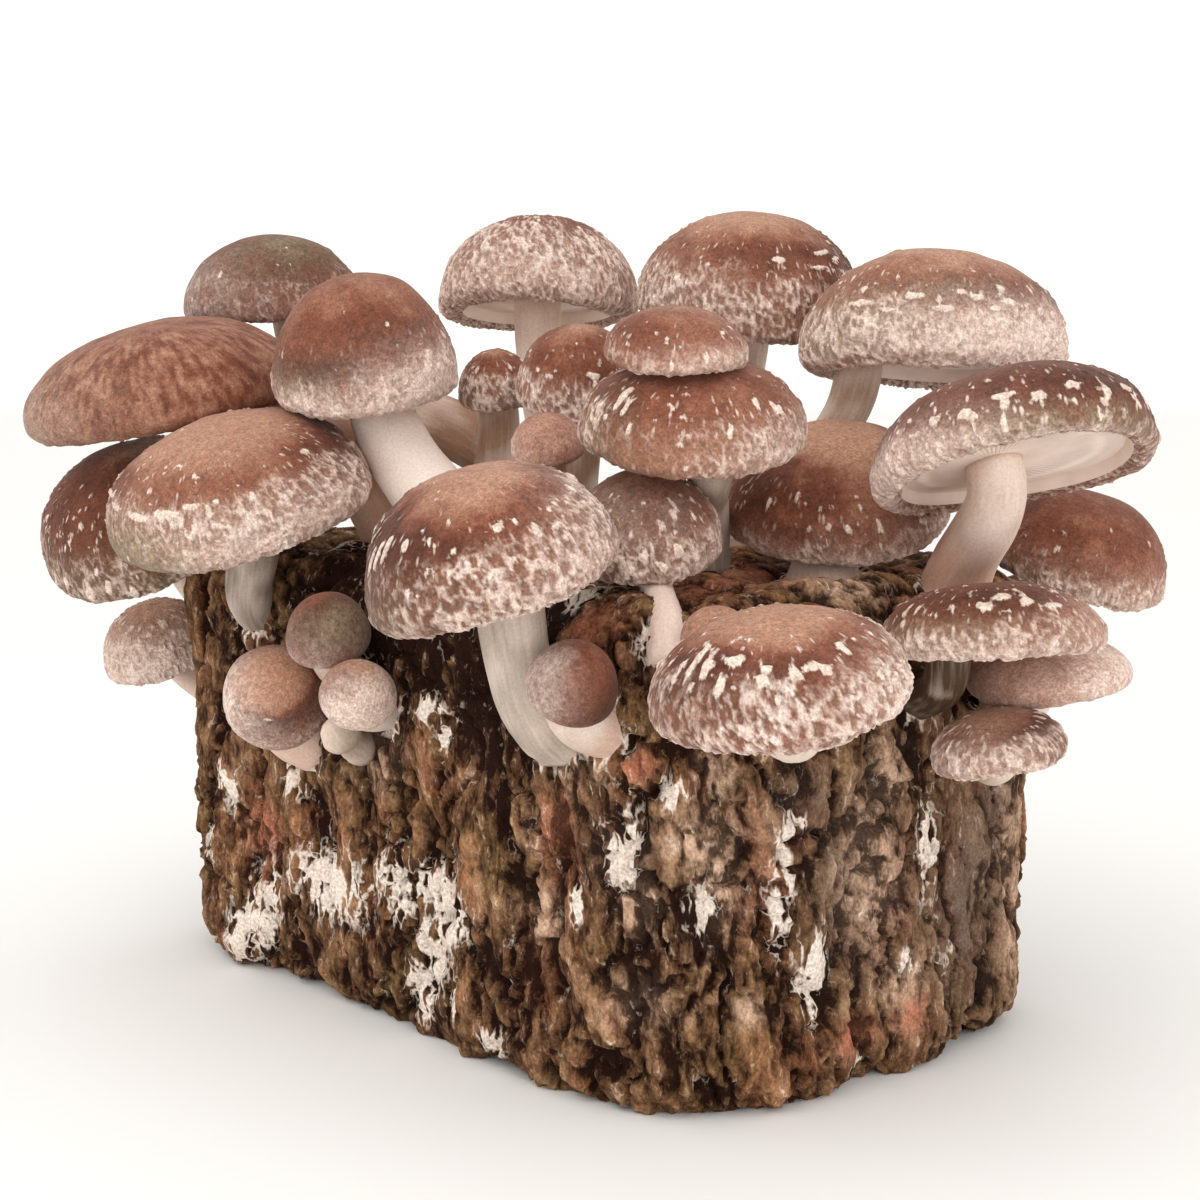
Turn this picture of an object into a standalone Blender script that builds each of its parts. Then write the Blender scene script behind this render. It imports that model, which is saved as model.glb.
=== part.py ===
"""Shiitake grow block: a browned sawdust block with shiitake mushrooms growing from its top and walls.

Metres, +Z up. The origin is the middle of the block's flat base. X runs along the block's length.
The clump is laid out as it is seen from the block's front right corner: across is to the right of
that view, away is farther from the viewer, and up is the height above the base, all in millimetres.
"""

import math
from collections import namedtuple

import bmesh
import bpy
from mathutils import Matrix, Vector, noise

MM = 0.001

# The block, as its filter bag shaped it
BLOCK_LENGTH = 203 * MM
BLOCK_WIDTH = 127 * MM
BLOCK_HEIGHT = 105 * MM
BLOCK_CORNER_RADIUS = 34 * MM
BLOCK_TOP_RADIUS = 11 * MM
BLOCK_BASE_RADIUS = 10 * MM
BLOCK_CELLS = (16, 10, 9)
LUMP_DEPTH = 3 * MM
LUMP_WIDTH = 18 * MM
LUMP_STRETCH = 2.4

# The corner that the layout is seen from
CORNER_VIEW = math.radians(48.5)

# Touching pieces keep this much air
GAP = 0.3 * MM

# How each mushroom's outline is divided
CAP_SIDES = 16
SMALL_CAP_SIDES = 12
SMALL_CAP_DIAMETER = 38
STEM_SIDES = 8
STEM_SECTIONS = 5
ROOT_DEPTH = 9 * MM

# centre is the middle of the cap's widest circle. lean is how far the cap's axis tips from upright,
# in degrees to the right and away from the viewer. flat is 2 for a half ellipse and more for a
# flatter top. foot is where the stem leaves the block, side is how far off the cap's middle it joins,
# stem is its diameter at the foot, the middle and the cap, bend is how far it keeps to its first
# direction, as a share of its length, and base is what it grows on: the block, or another's cap.
Mushroom = namedtuple(
    "Mushroom", "name centre diameter dome flat curl lean foot side stem bend base", defaults=(0.38, "block")
)

MUSHROOMS = (
    Mushroom("back_left", (-84, 55, 166), 46, 19, 2.0, 2.6, (-3, -4), (-4, 20, 103), 6, (17, 14, 12), 0.55),
    Mushroom("left_round", (-52, -12, 147), 44, 26, 2.2, 3.6, (-3, -12), (-20, -32, 103), 2, (27, 17, 13), 0.15),
    Mushroom("far_left", (-106, 19, 143), 69, 18.5, 2.2, 4.0, (-10.5, -10), (-44, 3, 103), 16, (18, 14, 13), 0.95),
    Mushroom("left_big", (-81, -21.2, 118.4), 62, 20.7, 2.3, 3.2, (-13, -17), (-79, 0, 90), 3, (12, 12, 15)),
    Mushroom("left_under", (-112, 24, 108.8), 55, 22.3, 2.1, 2.8, (-15, -28), (-92, 30, 86), 4, (10, 9, 11)),
    Mushroom("left_low", (-114, 46, 74), 31, 14, 2.1, 2.2, (-12, -20), (-98, 42, 62), 2, (8, 7, 8)),
    Mushroom("back_mid", (-13, 46, 167), 53, 22, 2.2, 4.0, (1, 10), (-6, 46, 103), 0, (14, 11, 12)),
    Mushroom("back_right", (41, 24, 165), 57, 24, 2.1, 3.6, (4, -10), (32, 18, 103), 0, (14, 11, 12)),
    Mushroom("right_high", (81, -18, 153), 61, 25, 2.2, 4.2, (2, 7), (38, 0, 103), -16.6, (13, 10, 11)),
    Mushroom("right_open", (88, -83, 133), 59, 17, 2.6, 3.3, (-9, 20), (80, -62, 103), -4, (16, 13, 12)),
    Mushroom("right_side", (116, -20, 104), 42, 18, 2.1, 2.8, (14, -12), (92, -32, 92), -4, (12, 10, 11)),
    Mushroom("right_flat", (82.4, -94, 97), 44.6, 12, 2.4, 2.8, (-2, 8), (70, -71, 82), -9, (11, 9, 10)),
    Mushroom("right_pink", (99, -70, 86.2), 36, 8, 2.2, 2.8, (-5, -4), (91, -54, 75), -3, (10, 9, 10)),
    Mushroom("right_small", (85, -91, 74.5), 27, 7.5, 2.2, 2.2, (-12, -8), (78, -66, 71), 0, (8, 7, 8)),
    Mushroom("mid_right", (56, -42, 120), 51, 18, 2.1, 2.9, (-5, -21), (53, -51.5, 103), -2, (17.5, 13, 11.5)),
    Mushroom("mid", (22.5, -79, 138), 47, 16, 2.2, 2.9, (1, -13), (27, -41.5, 103), 4, (12, 9, 12), 0.7),
    Mushroom("mid_top", (19, -84, 155), 29, 9, 2.1, 2.0, (2, -13), (21, -82, 151), 1, (8, 8, 8), 0.38, "mid"),
    Mushroom("mid_left_small", (-22, 10, 144), 19.5, 11, 2.1, 1.6, (-5, -20), (-25, 8, 104), 0, (14, 11, 9)),
    Mushroom("mid_left", (-1.5, -14, 145), 29.5, 16, 2.1, 2.2, (0, -20), (-4, -6, 104), 0, (13, 11, 10)),
    Mushroom("mid_tiny", (-8, -38, 133), 17, 8, 2.0, 1.5, (-8, -22), (-3, -38, 104), 0, (7, 6, 7)),
    Mushroom("front_big", (-18, -104, 113), 51, 20, 2.1, 3.1, (-15, -15), (-6, -88, 79), 2, (17, 13, 14)),
    Mushroom("mid_low", (12.6, -79.6, 115), 31.6, 16, 2.1, 2.2, (-5, -20), (17, -102, 97), 0, (9, 8, 8)),
    Mushroom("front_right", (36, -139, 93.6), 48, 16, 2.1, 3.1, (-9, -6), (37, -97, 88), 0, (14, 11, 12)),
    Mushroom("corner_tiny", (26, -110, 100), 14, 6, 2.0, 1.3, (-10, -32), (29, -102, 91), 0, (6, 5, 5)),
    Mushroom("stem_bud", (-2, -110, 90), 18, 11, 2.0, 1.8, (14, -40), (4, -98, 80), 0, (11, 11, 11)),
    Mushroom("left_bud_high", (-57, -47, 91), 19, 11, 2.0, 1.8, (-8, -32), (-54, -38, 82), 0, (9, 10, 10)),
    Mushroom("left_bud_side", (-50, -56, 79), 17, 9, 2.0, 1.8, (18, -42), (-44, -45, 74), 0, (9, 10, 10)),
    Mushroom("left_bud_big", (-71, -34, 75), 25, 13, 2.0, 2.4, (4, -58), (-66, -22, 64), 0, (16, 15, 14)),
)

# The youngest one is a plain knob, not yet split into cap and stem
Knob = namedtuple("Knob", "name centre foot diameters")

KNOBS = (
    Knob("left_knob", (-55, -46, 69), (-52, -40, 65), (8, 9)),
)


def from_corner_view(across, away, up):
    """A place in the corner view's millimetres, in the block's own frame."""
    cos, sin = math.cos(CORNER_VIEW), math.sin(CORNER_VIEW)
    return Vector((across * cos - away * sin, across * sin + away * cos, up)) * MM


def clear_scene():
    for obj in list(bpy.data.objects):
        bpy.data.objects.remove(obj)


def material(name, colour, roughness):
    made = bpy.data.materials.new(name)
    made.use_nodes = True
    shader = made.node_tree.nodes["Principled BSDF"]
    shader.inputs["Base Color"].default_value = (*colour, 1)
    shader.inputs["Roughness"].default_value = roughness
    shader.inputs["Metallic"].default_value = 0
    return made


def add_object(name, bm, finish):
    bmesh.ops.recalc_face_normals(bm, faces=bm.faces)
    mesh = bpy.data.meshes.new(name)
    bm.to_mesh(mesh)
    bm.free()
    mesh.shade_smooth()
    mesh.set_sharp_from_angle(angle=math.radians(50))
    mesh.materials.append(finish)
    obj = bpy.data.objects.new(name, mesh)
    bpy.context.scene.collection.objects.link(obj)
    return obj


def rounded(value, half, radius):
    """Splits a coordinate into its place in the box inside the rounding, and what sticks out of it."""
    inner = max(-(half - radius), min(half - radius, value))
    return inner, value - inner


def round_corners(point):
    """Moves a point of the plain box onto the box with round upright corners and round edges."""
    half_x, half_y = BLOCK_LENGTH / 2, BLOCK_WIDTH / 2
    inner_x, out_x = rounded(point.x, half_x, BLOCK_CORNER_RADIUS)
    inner_y, out_y = rounded(point.y, half_y, BLOCK_CORNER_RADIUS)
    reach = max(abs(out_x), abs(out_y))
    if out_x and out_y:
        shrink = reach / math.hypot(out_x, out_y)
        out_x, out_y = out_x * shrink, out_y * shrink
    edge = BLOCK_TOP_RADIUS if point.z > BLOCK_HEIGHT / 2 else BLOCK_BASE_RADIUS
    over = max(0, point.z - (BLOCK_HEIGHT - edge)) + max(0, edge - point.z)
    level = min(max(point.z, edge), BLOCK_HEIGHT - edge)
    beyond = max(0, reach - (BLOCK_CORNER_RADIUS - edge))
    if over and beyond:
        shrink = max(over, beyond) / math.hypot(over, beyond)
        kept = (reach - beyond + beyond * shrink) / reach
        out_x, out_y = out_x * kept, out_y * kept
        over *= shrink
    side = 1 if point.z > BLOCK_HEIGHT / 2 else -1
    return Vector((inner_x + out_x, inner_y + out_y, level + side * over))


def lump(point):
    """How far the bark-like skin stands out at a point, from -1 to 1. Its ridges run upright."""
    spot = Vector((point.x, point.y, point.z / LUMP_STRETCH)) / LUMP_WIDTH
    return noise.noise(spot) + 0.5 * noise.noise(spot * 2.1 + Vector((7, 3, 1)))


def grow(bm, offset):
    """Moves a closed surface outwards by offset."""
    bm.normal_update()
    for vert, out in [(vert, vert.normal.copy()) for vert in bm.verts]:
        vert.co += out * offset


def block_mesh(offset):
    """The block's closed surface, grown by offset."""
    bm = bmesh.new()
    bmesh.ops.create_cube(bm, size=1)
    size = Vector((BLOCK_LENGTH, BLOCK_WIDTH, BLOCK_HEIGHT))
    bmesh.ops.translate(bm, vec=(0, 0, 0.5), verts=bm.verts)
    bmesh.ops.scale(bm, vec=size, verts=bm.verts)
    for axis, cells in enumerate(BLOCK_CELLS):
        low = 0 if axis == 2 else -size[axis] / 2
        normal = Vector([float(axis == i) for i in range(3)])
        for cell in range(1, cells):
            where = normal * (low + size[axis] * cell / cells)
            everything = list(bm.verts) + list(bm.edges) + list(bm.faces)
            bmesh.ops.bisect_plane(bm, geom=everything, plane_co=where, plane_no=normal)
    for vert in bm.verts:
        vert.co = round_corners(vert.co)
    bm.normal_update()
    moves = {}
    for vert in bm.verts:
        on_base = vert.co.z < 0.1 * MM
        out = vert.normal.copy()
        if on_base:
            out.z = 0
        moves[vert] = out * lump(vert.co) * LUMP_DEPTH * (0.4 if on_base else 1)
    for vert, move in moves.items():
        vert.co += move
    bm.normal_update()
    base = [face for face in bm.faces if face.normal.z < -0.99 and face.calc_center_median().z < 1 * MM]
    bmesh.ops.dissolve_faces(bm, faces=base, use_verts=True)
    bmesh.ops.triangulate(bm, faces=bm.faces)
    grow(bm, offset)
    return bm


def cap_axis(mushroom):
    """The way that the cap's top faces."""
    right, away = (math.tan(math.radians(angle)) for angle in mushroom.lean)
    return from_corner_view(right, away, 1).normalized()


def cap_frame(mushroom):
    """The cap's own frame: Z along its axis, X to the right of the corner view."""
    z = cap_axis(mushroom)
    x = from_corner_view(1, 0, 0)
    x = (x - z * x.dot(z)).normalized()
    frame = Matrix((x, z.cross(x), z)).transposed().to_4x4()
    frame.translation = from_corner_view(*mushroom.centre)
    return frame


def wave(number, angle):
    """How far the rim of mushroom number wanders at an angle: outwards, as a share, and up, in mm."""
    outwards = 0.6 * math.cos(2 * angle + 2.4 * number) + 0.4 * math.cos(3 * angle + 4.1 * number)
    upwards = math.cos(2 * angle + 1.7 * number) + 0.5 * math.cos(3 * angle + 0.9 * number)
    return 0.025 * outwards, 0.9 * upwards


def cap_profile(mushroom, small):
    """Radius and height of the cap's outline in mm, from its top over the rim to the gills."""
    radius, curl = mushroom.diameter / 2, mushroom.curl
    points = []
    for degrees in (0, 30, 60, 90) if small else (0, 20, 41, 64, 90):
        turn = math.radians(degrees)
        points.append((radius * math.sin(turn) ** (2 / mushroom.flat), mushroom.dome * math.cos(turn)))
    for degrees in (85,) if small else (55, 125):
        turn = math.radians(degrees)
        points.append((radius - curl + curl * math.cos(turn), -curl * math.sin(turn)))
    points.append((radius - 2 * curl, 0))
    points.append((mushroom.stem[2] / 2 + 1.5, 0))
    points.append((0, 0))
    return points


def cap_mesh(number, mushroom, offset):
    """The cap's closed surface, grown by offset."""
    small = mushroom.diameter < SMALL_CAP_DIAMETER
    sides = SMALL_CAP_SIDES if small else CAP_SIDES
    bm = bmesh.new()
    verts = [bm.verts.new((r * MM, 0, z * MM)) for r, z in cap_profile(mushroom, small)]
    edges = [bm.edges.new(pair) for pair in zip(verts, verts[1:])]
    bmesh.ops.spin(
        bm, geom=verts + edges, cent=(0, 0, 0), axis=(0, 0, 1), dvec=(0, 0, 0),
        angle=math.tau, steps=sides, use_merge=True, use_duplicate=False,
    )
    bmesh.ops.remove_doubles(bm, verts=bm.verts, dist=0.01 * MM)
    gill_reach = (mushroom.diameter / 2 - 2 * mushroom.curl) * MM
    for vert in bm.verts:
        far = math.hypot(vert.co.x, vert.co.y)
        share = min(1, far / (mushroom.diameter / 2 * MM))
        outwards, upwards = wave(number, math.atan2(vert.co.y, vert.co.x))
        under = vert.co.z <= 0 and far < gill_reach * 1.01
        vert.co.x *= 1 + outwards * share**3
        vert.co.y *= 1 + outwards * share**3
        vert.co.z += upwards * share**3 * MM * min(1, mushroom.diameter / 60)
        if under:
            vert.co.x += mushroom.side * MM * (1 - far / gill_reach)
    bmesh.ops.transform(bm, matrix=cap_frame(mushroom), verts=bm.verts)
    bmesh.ops.recalc_face_normals(bm, faces=bm.faces)
    grow(bm, offset)
    return bm


def stem_line(mushroom):
    """Centre points of the stem, from inside the block to just under the cap."""
    axis = cap_axis(mushroom)
    frame = cap_frame(mushroom)
    top = frame @ Vector((mushroom.side * MM, 0, -GAP))
    foot = from_corner_view(*mushroom.foot)
    rise = top - foot
    half = Vector((BLOCK_LENGTH / 2, BLOCK_WIDTH / 2, 0))
    nearest = [half.x - abs(foot.x), half.y - abs(foot.y), BLOCK_HEIGHT - foot.z]
    out = Vector((0, 0, 0))
    face = nearest.index(min(nearest))
    out[face] = 1 if face == 2 else math.copysign(1, foot[face])
    start = (out + rise.normalized()).normalized()
    handles = (foot, foot + start * rise.length * mushroom.bend, top - axis * rise.length * 0.38, top)
    line = [foot - start * ROOT_DEPTH]
    for step in range(STEM_SECTIONS):
        t = step / (STEM_SECTIONS - 1)
        weights = ((1 - t) ** 3, 3 * t * (1 - t) ** 2, 3 * t * t * (1 - t), t**3)
        line.append(sum((handle * weight for handle, weight in zip(handles, weights)), Vector()))
    return line, start, axis


def stem_radius(mushroom, share):
    """Radius in metres at a share of the way from foot to cap."""
    foot, middle, top = (diameter / 2 * MM for diameter in mushroom.stem)
    if share < 0.5:
        return foot + (middle - foot) * math.sin(math.pi * share)
    return middle + (top - middle) * (2 * share - 1) ** 2


def add_cutter(name, bm, finish):
    """Adds the hidden shape that ends the pieces growing on a base, with the gap between them."""
    cutter = add_object(name + "_cutter", bm, finish)
    cutter.hide_render = True
    cutter.display_type = "WIRE"
    return cutter


def cut_by_base(obj, cutter):
    """Ends a piece at the skin that it grows on."""
    cut = obj.modifiers.new("grows on its base", "BOOLEAN")
    cut.operation = "DIFFERENCE"
    cut.object = cutter


def make_stem(mushroom, cutter, finish):
    line, start, axis = stem_line(mushroom)
    bm = bmesh.new()
    last = None
    for index, place in enumerate(line):
        if index < 2:
            along = start
        elif index == len(line) - 1:
            along = axis
        else:
            along = line[index + 1] - line[index - 1]
        share = max(0, index - 1) / (len(line) - 2)
        turn = along.to_track_quat("Z", "Y").to_matrix().to_4x4()
        turn.translation = place
        ends = index in (0, len(line) - 1)
        ring = bmesh.ops.create_circle(
            bm, cap_ends=ends, segments=STEM_SIDES, radius=stem_radius(mushroom, share), matrix=turn
        )
        around = {edge for vert in ring["verts"] for edge in vert.link_edges}
        if last:
            bmesh.ops.bridge_loops(bm, edges=list(last | around))
        last = around
    cut_by_base(add_object(mushroom.name + "_stem", bm, finish), cutter)


def make_knob(knob, cutter, finish):
    centre, foot = from_corner_view(*knob.centre), from_corner_view(*knob.foot)
    out = (centre - foot).normalized()
    turn = out.to_track_quat("Z", "Y").to_matrix().to_4x4()
    foot_radius, radius = (diameter / 2 * MM for diameter in knob.diameters)
    outline = [(0, -ROOT_DEPTH), (foot_radius, -ROOT_DEPTH), (foot_radius, 0)]
    neck = (centre - foot).length
    for degrees in (-40, -10, 20, 50, 90):
        angle = math.radians(degrees)
        outline.append((radius * math.cos(angle), neck + radius * math.sin(angle)))
    bm = bmesh.new()
    verts = [bm.verts.new((max(r, 0), 0, z)) for r, z in outline]
    edges = [bm.edges.new(pair) for pair in zip(verts, verts[1:])]
    bmesh.ops.spin(
        bm, geom=verts + edges, cent=(0, 0, 0), axis=(0, 0, 1), dvec=(0, 0, 0),
        angle=math.tau, steps=10, use_merge=True, use_duplicate=False,
    )
    bmesh.ops.remove_doubles(bm, verts=bm.verts, dist=0.01 * MM)
    turn.translation = foot
    bmesh.ops.transform(bm, matrix=turn, verts=bm.verts)
    cut_by_base(add_object(knob.name, bm, finish), cutter)


def build():
    clear_scene()
    bark = material("browned_block_skin", (0.13, 0.07, 0.045), 0.9)
    cap_skin = material("shiitake_cap_skin", (0.36, 0.19, 0.13), 0.75)
    stem_flesh = material("shiitake_stem", (0.68, 0.55, 0.45), 0.7)
    add_object("block", block_mesh(0), bark)
    cutters = {"block": add_cutter("block", block_mesh(GAP), bark)}
    bases = {mushroom.base for mushroom in MUSHROOMS}
    for number, mushroom in enumerate(MUSHROOMS):
        add_object(mushroom.name + "_cap", cap_mesh(number, mushroom, 0), cap_skin)
        if mushroom.name in bases:
            cutters[mushroom.name] = add_cutter(mushroom.name, cap_mesh(number, mushroom, GAP), cap_skin)
    for mushroom in MUSHROOMS:
        make_stem(mushroom, cutters[mushroom.base], stem_flesh)
    for knob in KNOBS:
        make_knob(knob, cutters["block"], cap_skin)


build()
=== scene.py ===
"""Shiitake grow block: a browned sawdust block with its crop of mushrooms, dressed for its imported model."""

import math
from collections import namedtuple

import bmesh
import bpy
import numpy as np
from bpy.props import FloatProperty, FloatVectorProperty, IntProperty, PointerProperty
from mathutils import Matrix, Vector, noise


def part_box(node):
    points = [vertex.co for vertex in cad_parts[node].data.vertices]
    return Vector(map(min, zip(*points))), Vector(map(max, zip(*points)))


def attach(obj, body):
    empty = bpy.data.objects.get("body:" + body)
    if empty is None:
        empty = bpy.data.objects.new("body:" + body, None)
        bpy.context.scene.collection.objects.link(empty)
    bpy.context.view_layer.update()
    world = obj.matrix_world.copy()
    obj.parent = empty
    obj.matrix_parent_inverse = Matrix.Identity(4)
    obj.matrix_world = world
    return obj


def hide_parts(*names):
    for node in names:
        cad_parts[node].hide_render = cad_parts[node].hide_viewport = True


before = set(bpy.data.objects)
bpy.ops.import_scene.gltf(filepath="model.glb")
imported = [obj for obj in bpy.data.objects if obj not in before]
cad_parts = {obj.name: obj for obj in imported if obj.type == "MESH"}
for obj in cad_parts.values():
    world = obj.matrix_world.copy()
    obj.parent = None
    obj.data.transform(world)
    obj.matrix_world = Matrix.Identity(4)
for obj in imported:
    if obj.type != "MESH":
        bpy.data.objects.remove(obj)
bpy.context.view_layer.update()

bl_info = {
    "name": "Shiitake grow block",
    "version": (1, 0, 0),
    "blender": (4, 5, 0),
    "location": "3D View > Sidebar > Grow block",
    "description": "Makes a browned sawdust block, its shiitake mushrooms and a plain stage",
    "category": "Add Mesh",
}

MM = 0.001

# How far the corner that the crop is laid out from is turned from the block's front
CORNER_VIEW = math.radians(48.5)


# The crop, in millimetres of that corner view: across, away and up. A cap's centre is in the plane of
# its gills, dome is how far it stands over that, flat is how square its shoulder is, and curl is the
# radius of its rolled rim. It leans so many degrees to the right and away. Its stem goes from the foot
# to a point so many mm beside the cap's middle, has a diameter at the foot, the middle and the top, and
# runs straight for about a share, bend, of its length.
Mushroom = namedtuple(
    "Mushroom", "name centre diameter dome flat curl lean foot side stem bend", defaults=(0.38,)
)

MUSHROOMS = [Mushroom(*row) for row in (
    ("back_left", (-84, 55, 166), 46, 19, 2.0, 2.6, (-3, -4), (-4, 20, 103), 6, (17, 14, 12), 0.55),
    ("left_round", (-52, -12, 147), 44, 26, 2.2, 3.6, (-3, -12), (-20, -32, 103), 2, (27, 17, 13), 0.15),
    ("far_left", (-106, 19, 143), 69, 18.5, 2.2, 4.0, (-10.5, -10), (-44, 3, 103), 16, (18, 14, 13), 0.95),
    ("left_big", (-81, -21.2, 118.4), 62, 20.7, 2.3, 3.2, (-13, -17), (-79, 0, 90), 3, (12, 12, 15)),
    ("left_under", (-112, 24, 108.8), 55, 22.3, 2.1, 2.8, (-15, -28), (-92, 30, 86), 4, (10, 9, 11)),
    ("left_low", (-114, 46, 74), 31, 14, 2.1, 2.2, (-12, -20), (-98, 42, 62), 2, (8, 7, 8)),
    ("back_mid", (-13, 46, 167), 53, 22, 2.2, 4.0, (1, 10), (-6, 46, 103), 0, (14, 11, 12)),
    ("back_right", (41, 24, 165), 57, 24, 2.1, 3.6, (4, -10), (32, 18, 103), 0, (14, 11, 12)),
    ("right_high", (81, -18, 153), 61, 25, 2.2, 4.2, (2, 7), (38, 0, 103), -16.6, (13, 10, 11)),
    ("right_open", (88, -83, 133), 59, 17, 2.6, 3.3, (-9, 20), (80, -62, 103), -4, (16, 13, 12)),
    ("right_side", (116, -20, 104), 42, 18, 2.1, 2.8, (14, -12), (92, -32, 92), -4, (12, 10, 11)),
    ("right_flat", (82.4, -94, 97), 44.6, 12, 2.4, 2.8, (-2, 8), (70, -71, 82), -9, (11, 9, 10)),
    ("right_pink", (99, -70, 86.2), 36, 8, 2.2, 2.8, (-5, -4), (91, -54, 75), -3, (10, 9, 10)),
    ("right_small", (85, -91, 74.5), 27, 7.5, 2.2, 2.2, (-12, -8), (78, -66, 71), 0, (8, 7, 8)),
    ("mid_right", (56, -42, 120), 51, 18, 2.1, 2.9, (-5, -21), (53, -51.5, 103), -2, (17.5, 13, 11.5)),
    ("mid", (22.5, -79, 138), 47, 16, 2.2, 2.9, (1, -13), (27, -41.5, 103), 4, (12, 9, 12), 0.7),
    ("mid_top", (19, -84, 155), 29, 9, 2.1, 2.0, (2, -13), (21, -82, 151), 1, (8, 8, 8)),
    ("mid_left_small", (-22, 10, 144), 19.5, 11, 2.1, 1.6, (-5, -20), (-25, 8, 104), 0, (14, 11, 9)),
    ("mid_left", (-1.5, -14, 145), 29.5, 16, 2.1, 2.2, (0, -20), (-4, -6, 104), 0, (13, 11, 10)),
    ("mid_tiny", (-8, -38, 133), 17, 8, 2.0, 1.5, (-8, -22), (-3, -38, 104), 0, (7, 6, 7)),
    ("front_big", (-18, -104, 113), 51, 20, 2.1, 3.1, (-15, -15), (-6, -88, 79), 2, (17, 13, 14)),
    ("mid_low", (12.6, -79.6, 115), 31.6, 16, 2.1, 2.2, (-5, -20), (17, -102, 97), 0, (9, 8, 8)),
    ("front_right", (36, -139, 93.6), 48, 16, 2.1, 3.1, (-9, -6), (37, -97, 88), 0, (14, 11, 12)),
    ("corner_tiny", (26, -110, 100), 14, 6, 2.0, 1.3, (-10, -32), (29, -102, 91), 0, (6, 5, 5)),
    ("stem_bud", (-2, -110, 90), 18, 11, 2.0, 1.8, (14, -40), (4, -98, 80), 0, (11, 11, 11)),
    ("left_bud_high", (-57, -47, 91), 19, 11, 2.0, 1.8, (-8, -32), (-54, -38, 82), 0, (9, 10, 10)),
    ("left_bud_side", (-50, -56, 79), 17, 9, 2.0, 1.8, (18, -42), (-44, -45, 74), 0, (9, 10, 10)),
    ("left_bud_big", (-71, -34, 75), 25, 13, 2.0, 2.4, (4, -58), (-66, -22, 64), 0, (16, 15, 14)),
)]

Knob = namedtuple("Knob", "name centre foot diameters")
KNOBS = (Knob("left_knob", (-55, -46, 69), (-52, -40, 65), (8, 9)),)

# How a cap is marked. band is how far down its side the pale net begins, from 0 at its middle to 1
# at its rim, start is where the brown ring begins, net how dense the net is, tufts how many flecks lie
# above it, dark how brown the ring is, and gills how deep the gills are. A tint is a kind, an angle
# round the cap in degrees, with 0 to the right of the view and -90 towards the viewer, a share of the
# way down, how wide it is both ways, and a strength. A veil tint lets the net begin higher up, and a
# bare one holds it back.
# A flap is an angle, a share, and its size round the cap and down it in mm.
Look = namedtuple("Look", "band start net tufts dark tints flaps gills", defaults=((), 1.0))
KINDS = ("olive", "grey", "pale", "pink", "deep", "tan", "bare", "veil", "streaky")

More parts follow.
